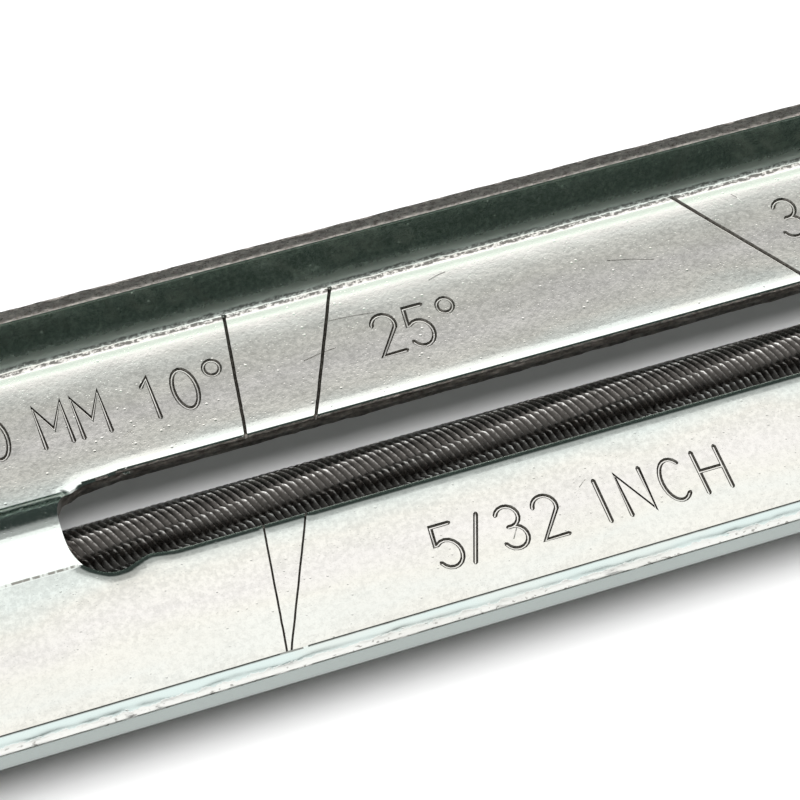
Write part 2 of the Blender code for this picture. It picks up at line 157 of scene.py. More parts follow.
def apply_modifiers(obj):
    bpy.context.view_layer.update()
    graph = bpy.context.evaluated_depsgraph_get()
    mesh = bpy.data.meshes.new_from_object(obj.evaluated_get(graph))
    obj.modifiers.clear()
    old = obj.data
    obj.data = mesh
    bpy.data.meshes.remove(old)
    return obj


def combine(obj, tools, operation="DIFFERENCE", own=False):
    """Cuts the tools out of obj, or joins them to it, in one exact boolean, and removes them."""
    group = bpy.data.collections.new("tools")
    bpy.context.scene.collection.children.link(group)
    for tool in tools:
        group.objects.link(tool)
    mod = obj.modifiers.new("combine", "BOOLEAN")
    mod.operation = operation
    mod.solver = "EXACT"
    mod.operand_type = "COLLECTION"
    mod.collection = group
    mod.use_self = own
    apply_modifiers(obj)
    for tool in tools:
        mesh = tool.data
        bpy.data.objects.remove(tool, do_unlink=True)
        bpy.data.meshes.remove(mesh)
    bpy.data.collections.remove(group)
    return obj


def bevel(obj, width, segments=2, angle=35.0):
    mod = obj.modifiers.new("bevel", "BEVEL")
    mod.width = width
    mod.segments = segments
    mod.limit_method = "ANGLE"
    mod.angle_limit = math.radians(angle)
    mod.use_clamp_overlap = True
    return apply_modifiers(obj)


def place(obj, materials, body, node, origin=(0.0, 0.0, 0.0), smooth=30.0):
    """Millimetres in the plate's frame to metres in the object's, with finish, body and CAD node."""
    shift = Vector(origin) + Vector((SHIFT_X, 0.0, BASE_Z))
    obj.data.transform(Matrix.Scale(MM, 4) @ Matrix.Translation(shift))
    index = np.zeros(len(obj.data.polygons), dtype=np.int32)
    obj.data.polygons.foreach_get("material_index", index)
    obj.data.materials.clear()
    for mat in materials:
        obj.data.materials.append(mat)
    if len(materials) > 1:
        obj.data.polygons.foreach_set("material_index", index)
    obj.data.shade_smooth()
    obj.data.set_sharp_from_angle(angle=math.radians(smooth))
    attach(obj, body)
    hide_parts(node)
    return obj


def prism(outline, a, b, axis):
    """A closed outline extruded along an axis from a to b. The outline's two numbers are the other
    two axes in order."""
    bm = bmesh.new()

    def point(u, v, h):
        return {"X": (h, u, v), "Y": (u, h, v), "Z": (u, v, h)}[axis]

    low = [bm.verts.new(point(u, v, a)) for u, v in outline]
    high = [bm.verts.new(point(u, v, b)) for u, v in outline]
    bm.faces.new(low)
    bm.faces.new(list(reversed(high)))
    n = len(outline)
    for i in range(n):
        j = (i + 1) % n
        bm.faces.new((low[j], low[i], high[i], high[j]))
    return bm


def revolve(profile, segments, axis="Z", closed=True, ripple=None):
    """(radius, height) points turned about an axis; a point of radius 0 is a pole."""
    bm = bmesh.new()
    rings = []
    for index, (r, h) in enumerate(profile):
        if r < 1e-6:
            rings.append([bm.verts.new((0.0, 0.0, h) if axis == "Z" else (h, 0.0, 0.0))])
            continue
        ring = []
        for i in range(segments):
            a = 2 * math.pi * i / segments
            rr = r if ripple is None else r + ripple(index, a, h)
            u, v = rr * math.cos(a), rr * math.sin(a)
            ring.append(bm.verts.new((u, v, h) if axis == "Z" else (h, u, v)))
        rings.append(ring)
    pairs = list(zip(rings, rings[1:]))
    if closed:
        pairs.append((rings[-1], rings[0]))
    for a, b in pairs:
        if len(a) == 1 and len(b) == 1:
            continue
        for i in range(segments):
            j = (i + 1) % segments
            if len(a) == 1:
                bm.faces.new((a[0], b[j], b[i]))
            elif len(b) == 1:
                bm.faces.new((a[i], a[j], b[0]))
            else:
                bm.faces.new((a[i], a[j], b[j], b[i]))
    return bm


def arc(cx, cy, rx, ry, a0, a1, steps):
    """Points on an ellipse, angles in degrees."""
    return [
        (
            cx + rx * math.cos(math.radians(a0 + (a1 - a0) * i / steps)),
            cy + ry * math.sin(math.radians(a0 + (a1 - a0) * i / steps)),
        )
        for i in range(steps + 1)
    ]


def smooth_noise(positions, step, seed, amplitude=1.0):
    """A smooth one-dimensional noise at the given positions, in mm."""
    positions = np.asarray(positions, float)
    rng = np.random.default_rng(seed)
    knots = rng.uniform(-1.0, 1.0, 4096)
    t = positions / step + 1024.0
    i = np.floor(t).astype(int)
    u = t - i
    u = u * u * (3 - 2 * u)
    return amplitude * (knots[i % 4096] * (1 - u) + knots[(i + 1) % 4096] * u)


def spline(points, per=6, closed=False):
    """Catmull-Rom curve through the points."""
    pts = [np.array(p, float) for p in points]
    n = len(pts)
    out = []
    count = n if closed else n - 1
    for i in range(count):
        p1, p2 = pts[i], pts[(i + 1) % n]
        p0 = pts[(i - 1) % n] if closed or i > 0 else 2 * p1 - p2
        p3 = pts[(i + 2) % n] if closed or i + 2 < n else 2 * p2 - p1
        for k in range(per):
            t = k / per
            out.append(
                0.5
                * (
                    2 * p1
                    + (p2 - p0) * t
                    + (2 * p0 - 5 * p1 + 4 * p2 - p3) * t * t
                    + (3 * p1 - p0 - 3 * p2 + p3) * t**3
                )
            )
    if not closed:
        out.append(pts[-1])
    return [tuple(p) for p in out]


# ---------------------------------------------------------------- shader helpers
class Finish:
    """A small wrapper that keeps node trees short to write."""

    def __init__(self, name):
        self.mat = bpy.data.materials.new(name)
        self.mat.use_nodes = True
        self.tree = self.mat.node_tree
        self.shader = self.tree.nodes["Principled BSDF"]
        self.coord = self.node("ShaderNodeTexCoord")
        self.bump_chain = None

    def node(self, kind, **values):
        node = self.tree.nodes.new(kind)
        for key, value in values.items():
            setattr(node, key, value)
        return node

    def link(self, a, b):
        self.tree.links.new(a, b)

    def set(self, **values):
        for key, value in values.items():
            self.shader.inputs[key.replace("_", " ")].default_value = value
        return self

    def mapping(self, scale=(1.0, 1.0, 1.0), rotation=(0.0, 0.0, 0.0), location=(0.0, 0.0, 0.0)):
        """Object coordinates in millimetres, stretched by scale."""
        m = self.node("ShaderNodeMapping")
        m.inputs["Scale"].default_value = [1000.0 * s for s in scale]
        m.inputs["Rotation"].default_value = rotation
        m.inputs["Location"].default_value = location
        self.link(self.coord.outputs["Object"], m.inputs["Vector"])
        return m.outputs["Vector"]

    def noise(self, vector, scale=1.0, detail=2.0, rough=0.5, distortion=0.0):
        n = self.node("ShaderNodeTexNoise")
        n.inputs["Scale"].default_value = scale
        n.inputs["Detail"].default_value = detail
        n.inputs["Roughness"].default_value = rough
        n.inputs["Distortion"].default_value = distortion
        self.link(vector, n.inputs["Vector"])
        return n.outputs["Fac"]

    def voronoi(self, vector, scale=1.0, feature="F1", randomness=1.0):
        n = self.node("ShaderNodeTexVoronoi", feature=feature)
        n.inputs["Scale"].default_value = scale
        n.inputs["Randomness"].default_value = randomness
        self.link(vector, n.inputs["Vector"])
        return n.outputs["Distance"]

    def ramp(self, value, a, b, lo=0.0, hi=1.0, smooth=True):
        n = self.node("ShaderNodeMapRange", interpolation_type="SMOOTHSTEP" if smooth else "LINEAR")
        n.inputs["From Min"].default_value = a
        n.inputs["From Max"].default_value = b
        n.inputs["To Min"].default_value = lo
        n.inputs["To Max"].default_value = hi
        self.link(value, n.inputs["Value"])
        return n.outputs["Result"]

    def math(self, operation, a, b=None):
        n = self.node("ShaderNodeMath", operation=operation)
        for index, value in enumerate((a, b)):
            if value is None:
                continue
            if isinstance(value, (int, float)):
                n.inputs[index].default_value = value
            else:
                self.link(value, n.inputs[index])
        return n.outputs["Value"]

    def mix(self, factor, a, b, blend="MIX"):
        n = self.node("ShaderNodeMix", data_type="RGBA", blend_type=blend)
        sockets = [s for s in n.inputs if s.enabled]
        for socket, value in zip(sockets, (factor, a, b)):
            if isinstance(value, (int, float)):
                socket.default_value = value
            elif isinstance(value, (tuple, list)):
                socket.default_value = (*value, 1.0)
            else:
                self.link(value, socket)
        return [s for s in n.outputs if s.enabled][0]

    def colours(self, factor, stops):
        n = self.node("ShaderNodeValToRGB")
        ramp = n.color_ramp
        while len(ramp.elements) > 1:
            ramp.elements.remove(ramp.elements[-1])
        ramp.elements[0].position = stops[0][0]
        ramp.elements[0].color = (*stops[0][1], 1.0)
        for position, colour in stops[1:]:
            e = ramp.elements.new(position)
            e.color = (*colour, 1.0)
        self.link(factor, n.inputs["Fac"])
        return n.outputs["Color"]

    def bump(self, height, distance_mm, strength=1.0):
        n = self.node("ShaderNodeBump")
        n.inputs["Strength"].default_value = strength
        n.inputs["Distance"].default_value = distance_mm * MM
        self.link(height, n.inputs["Height"])
        if self.bump_chain is not None:
            self.link(self.bump_chain, n.inputs["Normal"])
        self.bump_chain = n.outputs["Normal"]
        self.link(self.bump_chain, self.shader.inputs["Normal"])

    def to(self, value, name):
        self.link(value, self.shader.inputs[name])

    def attribute(self, name):
        n = self.node("ShaderNodeAttribute", attribute_name=name, attribute_type="GEOMETRY")
        return n.outputs["Fac"]


def zinc_finish(name, tone=(0.87, 0.87, 0.845), pits=1.0, seed=0.0, bands=False, gloss=0.105):
    """Bright zinc plate: a fine orange peel, scattered pits, and a thin passivation film whose tint
    drifts from cream to a faint blue-green."""
    f = Finish(name)
    f.set(Metallic=1.0)
    here = f.mapping(location=(seed, seed * 0.7, 0.0))
    long = f.mapping(scale=(0.4, 1.0, 1.0), location=(seed, 2.0, 0.0))
    cream = (tone[0] * 1.025, tone[1] * 1.0, tone[2] * 0.965)
    mint = (tone[0] * 0.955, tone[1] * 1.012, tone[2] * 1.010)
    film = f.noise(long, 0.16, 3.0, 0.55, 0.8)
    if bands:
        parts = f.node("ShaderNodeSeparateXYZ")
        f.link(f.mapping(), parts.inputs["Vector"])
        across = f.math("ADD", f.math("ABSOLUTE", parts.outputs["Y"]), f.math("MULTIPLY", film, 5.0))
        film = f.ramp(across, 5.2, 16.2, 0.0, 1.0, smooth=False)
        tint = f.colours(
            film,
            [(0.0, mint), (0.10, mint), (0.24, cream), (0.42, (tone[0] * 1.02, tone[1] * 0.985, tone[2] * 0.99)),
             (0.60, cream), (0.76, (tone[0] * 1.0, tone[1] * 1.005, tone[2] * 0.99)), (0.93, cream), (1.0, mint)],
        )
    else:
        tint = f.colours(film, [(0.35, mint), (0.48, tone), (0.60, cream), (0.72, mint)])
    slow = f.noise(here, 0.09, 2.0, 0.5)
    fine = f.noise(here, 7.0, 2.0, 0.6)
    shade = f.math("ADD", f.ramp(slow, 0.3, 0.7, 0.0, 0.08), f.ramp(fine, 0.42, 0.75, 0.0, 0.10))
    colour = f.mix(shade, tint, (tone[0] * 0.55, tone[1] * 0.55, tone[2] * 0.53))
    grain = f.noise(here, 3.2, 3.0, 0.6)
    satin = f.ramp(grain, 0.3, 0.72, gloss - 0.03, gloss + 0.07)
    rough = 1.0
    if bands:
        # the near strip was rubbed smooth; up the far flange's inner face the colour is tinted darker green, painted
        # shade, and the face is a little rougher
        y = parts.outputs["Y"]
        rough = f.ramp(y, -1.5, 1.5, 0.18, 1.0)
        far_face_shade_mask = f.ramp(y, 13.05, 13.6, 0.0, 1.0)
        colour = f.mix(far_face_shade_mask, colour, (tone[0] * 0.80, tone[1] * 0.97, tone[2] * 0.89))
        satin = f.math("ADD", satin, f.math("MULTIPLY", far_face_shade_mask, 0.05))
        # painted shade: the middle of the far flange's inner face is darkened towards a dark green
        far_face_mid_shade = f.math("MULTIPLY", f.ramp(y, 13.15, 13.55, 0.0, 1.0), f.ramp(y, 13.95, 14.35, 1.0, 0.15))
        colour = f.mix(f.math("MULTIPLY", far_face_mid_shade, 0.45), colour, (0.06, 0.10, 0.08))
        # painted shade: a warm darkening of the near strip just before the near flange's fold
        foot = f.math("MULTIPLY", f.ramp(y, -13.1, -12.1, 0.34, 0.0), f.ramp(y, -13.4, -13.1, 0.0, 1.0))
        colour = f.mix(foot, colour, (0.42, 0.39, 0.345))
        # painted highlight: the far strip is lighter close to its fold; painted reflection: a paler, duller colour
        # climbs the foot of the far flange, which is also made rougher
        far_fold_highlight = f.math("MULTIPLY", f.ramp(y, 11.2, 12.2, 0.0, 0.8), f.ramp(y, 12.85, 13.0, 1.0, 0.0))
        colour = f.mix(far_fold_highlight, colour, (0.99, 0.955, 0.925))
        climb = f.ramp(parts.outputs["Z"], BASE_Z + PLATE_T + 0.15, BASE_Z + PLATE_T + 1.7, 1.0, 0.0)
        far_foot_reflection = f.math("MULTIPLY", f.ramp(y, 12.98, 13.14, 0.0, 1.0), climb)
        colour = f.mix(f.math("MULTIPLY", far_foot_reflection, 0.85), colour, (0.82, 0.90, 0.85))
        satin = f.math("ADD", satin, f.math("MULTIPLY", far_foot_reflection, 0.30))
        # dark ragged lines along the inside of the far fold, and a dark dotted line along the near foot of each rib
        jitter = f.noise(f.mapping(scale=(0.5, 0.2, 1.0), location=(7.0, 0.0, 0.0)), 1.6, 3.0, 0.7)
        fold = f.math("ADD", y, f.math("MULTIPLY", jitter, 0.26))
        line_a = f.math("MULTIPLY", f.ramp(fold, 12.84, 12.98, 0.0, 1.0), f.ramp(fold, 13.13, 13.20, 1.0, 0.0))
        line_b = f.math("MULTIPLY", f.ramp(fold, 13.19, 13.24, 0.0, 1.0), f.ramp(fold, 13.38, 13.46, 1.0, 0.0))
        above = f.ramp(parts.outputs["Z"], BASE_Z + PLATE_T - 0.2, BASE_Z + PLATE_T, 0.0, 1.0)
        frayed = f.ramp(f.noise(f.mapping(scale=(0.7, 1.0, 1.0), location=(3.0, 1.0, 0.0)), 4.5, 2.0, 0.6), 0.36, 0.56, 0.30, 0.90)
        fold_lines = f.math("MULTIPLY", f.math("MULTIPLY", f.math("MAXIMUM", line_a, f.math("MULTIPLY", line_b, 0.85)), above), frayed)
        off = f.math("ABSOLUTE", f.math("ADD", y, f.math("ADD", f.math("MULTIPLY", jitter, 0.10), 2.28)))
        beyond = f.ramp(f.math("ABSOLUTE", f.math("SUBTRACT", parts.outputs["X"], SHIFT_X)), 65.8, 67.2, 0.0, 0.9)
        dots = f.ramp(f.noise(f.mapping(scale=(1.0, 0.1, 0.1)), 2.4, 1.0), 0.42, 0.52, 0.35, 1.0)
        crease = f.math("MULTIPLY", f.math("MULTIPLY", f.ramp(off, 0.05, 0.13, 1.0, 0.0), beyond), f.math("MULTIPLY", dots, above))
        colour = f.mix(fold_lines, colour, (0.070, 0.067, 0.060))
        colour = f.mix(crease, colour, (0.15, 0.14, 0.125))
    f.to(colour, "Base Color")
    f.to(satin, "Roughness")
    waves = f.noise(f.mapping(scale=(0.6, 1.0, 1.0), location=(seed, 3.0, 0.0)), 0.42, 1.5, 0.4)
    f.bump(waves, 0.012)
    peel = f.noise(here, 3.6, 3.0, 0.62)
    f.bump(f.math("MULTIPLY", peel, rough), 0.0034)
    spots = f.voronoi(here, 1.5)
    size = f.noise(here, 0.9, 0.0)
    pit = f.math("MULTIPLY", f.ramp(spots, 0.06, 0.16, 1.0, 0.0), f.ramp(size, 0.50, 0.58, 0.0, 1.0))
    f.bump(f.math("MULTIPLY", f.math("MULTIPLY", pit, -1.0), rough), 0.016 * pits)
    grit = f.voronoi(here, 3.4)
    where = f.noise(here, 0.35, 1.0)
    specks = f.math("MULTIPLY", f.ramp(grit, 0.08, 0.20, 1.0, 0.0), f.ramp(where, 0.42, 0.60, 0.0, 1.0))
    f.bump(f.math("MULTIPLY", specks, rough), 0.006 * pits)
    return f


def torn_finish(name, tone=(0.30, 0.275, 0.25), rough=0.48, scale=1.0, bump=1.0):
    """A sheared edge: the torn half of the cut is grey-brown and coarse."""
    f = Finish(name)
    f.set(Metallic=1.0)
    along = f.mapping(scale=(0.7, 1.0, 1.0))
    coarse = f.noise(along, 2.6 * scale, 4.0, 0.65)
    fine = f.noise(along, 9.0 * scale, 3.0, 0.6)
    f.to(
        f.colours(
            coarse,
            [
                (0.32, (tone[0] * 0.55, tone[1] * 0.53, tone[2] * 0.52)),
                (0.5, tone),
                (0.68, tuple(min(0.85, 1.5 * t) for t in tone)),
            ],
        ),
        "Base Color",
    )
    f.to(f.ramp(fine, 0.3, 0.7, rough - 0.12, rough + 0.14), "Roughness")
    f.bump(coarse, 0.10 * bump)
    f.bump(fine, 0.03 * bump)
    return f


def sheared_finish(name):
    """The near flange's edge: burnished and faintly blue-green over its inner part, torn and whiter over its
    outer part, with a painted brown shade line along the inner corner."""
    f = Finish(name)
    f.set(Metallic=1.0)
    parts = f.node("ShaderNodeSeparateXYZ")
    f.link(f.mapping(), parts.inputs["Vector"])
    out = f.math("SUBTRACT", f.math("ABSOLUTE", parts.outputs["Y"]), FLAT_HALF + FLANGE_HEIGHT * math.tan(FLARE))
    up = f.math("SUBTRACT", parts.outputs["Z"], BASE_Z + PLATE_T + FLANGE_HEIGHT)
    through = f.math("SUBTRACT", f.math("MULTIPLY", out, math.cos(FLARE)), f.math("MULTIPLY", up, math.sin(FLARE)))
    ragged = f.noise(f.mapping(scale=(0.55, 1.0, 1.0)), 2.2, 3.0, 0.65)
    line = f.math("ADD", through, f.math("MULTIPLY", ragged, 0.7))
    torn = f.ramp(line, 1.08, 1.18, 0.0, 1.0)
    colour = f.mix(torn, (0.56, 0.635, 0.625), (0.76, 0.76, 0.74))
    slow = f.noise(f.mapping(scale=(0.3, 1.0, 1.0), location=(3.0, 0.0, 0.0)), 0.5, 2.0)
    colour = f.mix(f.ramp(slow, 0.40, 0.62, 0.0, 0.35), colour, (0.64, 0.635, 0.60))
    flecks = f.math("MULTIPLY", f.ramp(f.noise(f.mapping(scale=(0.6, 1.0, 1.0)), 4.5, 2.0), 0.60, 0.68, 0.0, 1.0), f.ramp(line, 1.25, 1.40, 0.0, 0.8))
    colour = f.mix(flecks, colour, (0.26, 0.25, 0.235))
    # painted shade: a brown line along the inner corner, where the edge meets the inner face
    corner = f.math("MULTIPLY", f.ramp(f.math("ADD", through, f.math("MULTIPLY", ragged, 0.12)), 0.15, 0.25, 1.0, 0.0), 0.65)
    f.to(f.mix(corner, colour, (0.16, 0.135, 0.115)), "Base Color")
    f.to(f.ramp(torn, 0.0, 1.0, 0.22, 0.40), "Roughness")
    f.bump(f.math("MULTIPLY", f.noise(f.mapping(scale=(0.6, 1.0, 1.0)), 5.0, 3.0), f.ramp(torn, 0.0, 1.0, 0.15, 1.0)), 0.02)
    return f


# ---------------------------------------------------------------- the plate's surface
def slot_end(sign):
    """Outline of one rounded end of the slot, from the far edge round to the near edge. The end bulges
    a little on both sides, where the punch was relieved for the start of the rib."""
    pts = [
        (62.0, 3.62),
        (63.2, 3.50),
        (64.6, 3.41),
        (65.65, 2.95),
        (66.35, 2.50),
        (66.85, 1.65),
        (67.02, 0.55),
        (67.05, -0.65),
        (66.85, -1.60),
        (66.2, -2.50),
        (65.4, -3.12),
        (64.7, -3.40),
        (63.75, -3.38),
        (62.6, -2.98),
        (62.0, -2.84),
        (61.3, -2.95),
        (60.4, -3.08),
    ]
    return [(sign * x, y) for x, y in spline(pts, 4)]


def slot_outline():
    """Counter-clockwise from the right end's near side."""
    right = list(reversed(slot_end(1.0)))          # near side to far side
    left = slot_end(-1.0)                          # far side to near side
    step = 0.45
    far, near = [], []
    x = right[-1][0] - step
    while x > left[0][0] + 0.2:
        far.append((x, SLOT_FAR))
        x -= step
    x = left[-1][0] + step
    while x < right[0][0] - 0.2:
        near.append((x, SLOT_NEAR))
        x += step
    return right + far + left + near


SLOT = slot_outline()
_slot_a = np.array(SLOT)
_slot_b = np.roll(_slot_a, -1, axis=0)


def slot_distance(points):
    """Distance from (x, y) points to the slot's outline, negative inside it."""
    points = np.asarray(points, float)
    out = np.full(len(points), 99.0)
    near = np.where((np.abs(points[:, 1]) < 8.5) & (np.abs(points[:, 0]) < 73.0))[0]
    d = _slot_b - _slot_a
    ll = (d**2).sum(1)
    for start in range(0, len(near), 1500):
        ids = near[start : start + 1500]
        p = points[ids][:, None, :]
        t = np.clip(((p - _slot_a) * d).sum(2) / ll, 0.0, 1.0)
        q = _slot_a + t[..., None] * d
        dist = np.sqrt(((p - q) ** 2).sum(2)).min(1)
        x, y = points[ids][:, 0:1], points[ids][:, 1:2]
        ya, yb, xa, xb = _slot_a[:, 1], _slot_b[:, 1], _slot_a[:, 0], _slot_b[:, 0]
        cross = ((ya > y) != (yb > y)) & (
            x < (xb - xa) * (y - ya) / np.where(np.abs(yb - ya) < 1e-12, 1e-12, yb - ya) + xa
        )
        inside = cross.sum(1) % 2 == 1
        out[ids] = np.where(inside, -dist, dist)
    return out


def rib_height(x, y):
    """The rib pressed up over the file beyond each end of the slot."""
    x, y = np.abs(np.asarray(x, float)), np.asarray(y, float)
    mid, half = (RIDGE_NEAR + RIDGE_FAR) / 2, (RIDGE_FAR - RIDGE_NEAR) / 2
    u = np.clip((y - mid) / half, -1.0, 1.0)
    across = np.cos(np.pi * u / 2) ** np.where(u > 0.0, 0.78, 1.0)
    t = np.clip((x - 64.9) / 1.5, 0.0, 1.0)
    along = t * t * (3 - 2 * t)
    return RIDGE_HEIGHT * across * along


def edge_lift(y):
    """The floor curls up a little before each flange."""
    y = np.asarray(y, float)
    far = 0.0065 * np.clip(np.minimum(y, 12.5) - 9.8, 0.0, None) ** 2
    near = 0.006 * np.clip(np.minimum(-y, 12.5) - 11.2, 0.0, None) ** 2
    return far + near


def surface_shift(x, y):
    """How far the sheet stands above a flat one, in mm: the rib, the pull of the punch beside the slot
    and the curl at the start of each flange."""
    x, y = np.asarray(x, float), np.asarray(y, float)
    d = slot_distance(np.stack([x, y], 1))
    side = np.clip((y - 0.3) / 2.4, -1.0, 1.0) * 0.5 + 0.5           # 0 on the near strip, 1 on the far one
    width = ROLL_NEAR[0] + (ROLL_FAR[0] - ROLL_NEAR[0]) * side
    drop = ROLL_NEAR[1] + (ROLL_FAR[1] - ROLL_NEAR[1]) * side
    s = np.clip(1.0 - d / width, 0.0, 1.7)
    roll = drop * s**2
    rib = rib_height(x, y)
    near_lip = (1.0 - side) * 0.10 * np.clip(1.0 - d / 0.30, 0.0, 1.3) ** 1.5
    far_lip = side * 0.16 * np.clip(1.0 - d / 0.19, 0.0, 1.3) ** 1.2
    return rib + edge_lift(y) - (near_lip + far_lip + np.minimum(roll, 0.6)) * (1.0 - np.clip(rib / 0.35, 0.0, 1.0))


def stations(ranges):
    """Positions along the plate: (start, end, step) stretches joined end to end."""
    out = []
    for a, b, step in ranges:
        n = max(1, int(round((b - a) / step)))
        out += [a + (b - a) * i / n for i in range(n)]
    out.append(ranges[-1][1])
    return out


coarse = 1.0
X_STATIONS = stations(
    [
        (-97.0, -76.0, 1.0 * coarse),
        (-76.0, -69.0, 0.45 * coarse),
        (-69.0, -60.0, 0.28 * coarse),
        (-60.0, -5.0, 0.5 * coarse),
        (-5.0, 60.0, 1.0 * coarse),
        (60.0, 69.0, 0.45 * coarse),
        (69.0, 97.0, 1.0 * coarse),
    ]
)

FLOOR_Y = [
    -12.5, -12.1, -11.7, -11.3, -10.9, -10.5, -8.5, -6.5, -5.0, -4.3, -3.9, -3.6, -3.35, -3.15, -3.0, -2.75, -2.5, -2.3,
    -2.1, -1.85, -1.55, -1.2, -0.8, -0.35, 0.1, 0.375, 0.7, 1.15, 1.6, 1.95, 2.3, 2.6, 2.85, 3.05, 3.25, 3.45,
    3.62, 3.71, 3.8, 4.0, 4.2, 4.4, 4.6, 4.8, 5.1, 6.0, 8.0, 10.5, 10.9, 11.3, 11.7, 12.1, 12.5,
]


def build_plate():
    n = len(X_STATIONS)
    xs = np.array(X_STATIONS)
    rise = math.pi / 2 - FLARE
    up = np.array([math.sin(FLARE), math.cos(FLARE)])       # along the far flange
    out = np.array([math.cos(FLARE), -math.sin(FLARE)])     # through its thickness
    top = np.array([FLAT_HALF + FLANGE_HEIGHT * math.tan(FLARE), PLATE_T + FLANGE_HEIGHT])

    # the section as columns: (kind, y array, z array), counter-clockwise seen from +X
    columns = []

    def column(kind, y, z):
        columns.append((kind, np.broadcast_to(np.asarray(y, float), (n,)).copy(),
                        np.broadcast_to(np.asarray(z, float), (n,)).copy()))

    def flange(side):
        """From the floor's end up the inner face, over the sheared edge and down the outer face."""
        part = []
        bend_in = BEND_FAR if side > 0 else BEND_IN
        bend_out = bend_in + PLATE_T
        cy, cz = FLAT_HALF - bend_in * math.tan(rise / 2), PLATE_T + bend_in
        foot = np.array([cy, cz]) + bend_in * out
        height = float(np.dot(top - foot, up))
        for k in range(0, 9):
            a = -math.pi / 2 + rise * k / 8
            part.append(("inner", cy + bend_in * math.cos(a), cz + bend_in * math.sin(a)))
        for k in (0.25, 0.5, 0.75, 0.93):
            p = foot + up * height * k
            part.append(("inner", p[0], p[1]))
        seed = 11 if side > 0 else 23
        wobble = smooth_noise(xs, 0.9, seed, 0.012) + smooth_noise(xs, 0.55, seed + 1, 0.008)
        torn = smooth_noise(xs, 0.7, seed + 2, 0.022) + smooth_noise(xs, 0.52, seed + 3, 0.014)
        torn2 = smooth_noise(xs, 0.62, seed + 4, 0.03) + smooth_noise(xs, 0.51, seed + 5, 0.016)
        line = 0.62 + smooth_noise(xs, 2.3, seed + 6, 0.10) + smooth_noise(xs, 0.6, seed + 7, 0.05)
        edge = [
            ("inner", -0.16, 0.0, 0.0),
            ("roll", -0.06, 0.035, 0.0),
            ("shear", -0.01, 0.12, 0.0),
            ("shear", 0.0, 0.24, 0.0),
            ("shear", -0.012, line - 0.05, wobble * 0.5),
            ("torn", -0.055, line + 0.05, wobble + torn * 0.4),
            ("torn", -0.10, 0.90, torn),
            ("torn", -0.12, 1.08, torn2),
            ("torn", -0.10, 1.20, torn * 0.5),
            ("outer", -0.16, 1.28, torn2 * 0.7 + wobble),
            ("outer", -0.30, 1.30, 0.0),
        ]
        for kind, s, t, bump in edge:
            s = np.minimum(s + bump, 0.0) if kind != "inner" else s + 0 * xs
            t = t + 0 * xs
            y = foot[0] + up[0] * (height + s) + out[0] * t
            z = foot[1] + up[1] * (height + s) + out[1] * t
            part.append((kind, y, z))
        outer_foot = np.array([cy, cz]) + bend_out * out
        for k in (0.75, 0.5, 0.25):
            p = outer_foot + up * height * k
            part.append(("outer", p[0], p[1]))
        for k in range(9, -1, -1):
            a = -math.pi / 2 + rise * k / 9
            part.append(("outer", cy + bend_out * math.cos(a), cz + bend_out * math.sin(a)))
        if side < 0:
            part = [(kind, -np.asarray(y), z) for kind, y, z in reversed(part)]
        return part

    for kind, y, z in flange(1.0):
        column(kind, y, z)
    for y in reversed(FLOOR_Y):
        column("under", y, 0.0)
    for kind, y, z in flange(-1.0):
        column(kind, y, z)
    for y in FLOOR_Y:
        column("floor", y, PLATE_T)

    shift_cache = {}
    for y in FLOOR_Y:
        shift_cache[y] = surface_shift(xs, np.full(n, y))
    # nothing is drawn down at the ends of the flat strips
    m = len(columns)
    verts = np.zeros((n, m, 3))
    for j, (kind, y, z) in enumerate(columns):
        zz = z.copy()
        if kind in ("floor", "under"):
            zz = zz + shift_cache[float(y[0])]
        else:
            zz = zz + edge_lift(y) * np.clip((PLATE_T + BEND_IN + 0.1 - z) / 0.6, 0.0, 1.0)
        verts[:, j, 0] = xs
        verts[:, j, 1] = y
        verts[:, j, 2] = zz
    faces, kinds = [], []
    label = {"inner": 0, "outer": 0, "floor": 0, "under": 0, "roll": 0, "shear": 1, "torn": 1}
    for i in range(n - 1):
        for j in range(m):
            k = (j + 1) % m
            faces.append((i * m + j, i * m + k, (i + 1) * m + k, (i + 1) * m + j))
            kinds.append(max(label[columns[j][0]], label[columns[k][0]]) if label[columns[j][0]] == label[columns[k][0]] else 0)
    faces.append(tuple(range(m - 1, -1, -1)))
    kinds.append(1)
    faces.append(tuple((n - 1) * m + j for j in range(m)))
    kinds.append(1)
    plate = mesh_object("plate", verts.reshape(-1, 3), faces)
    plate.data.polygons.foreach_set("material_index", np.array(kinds, dtype=np.int32))
    return plate


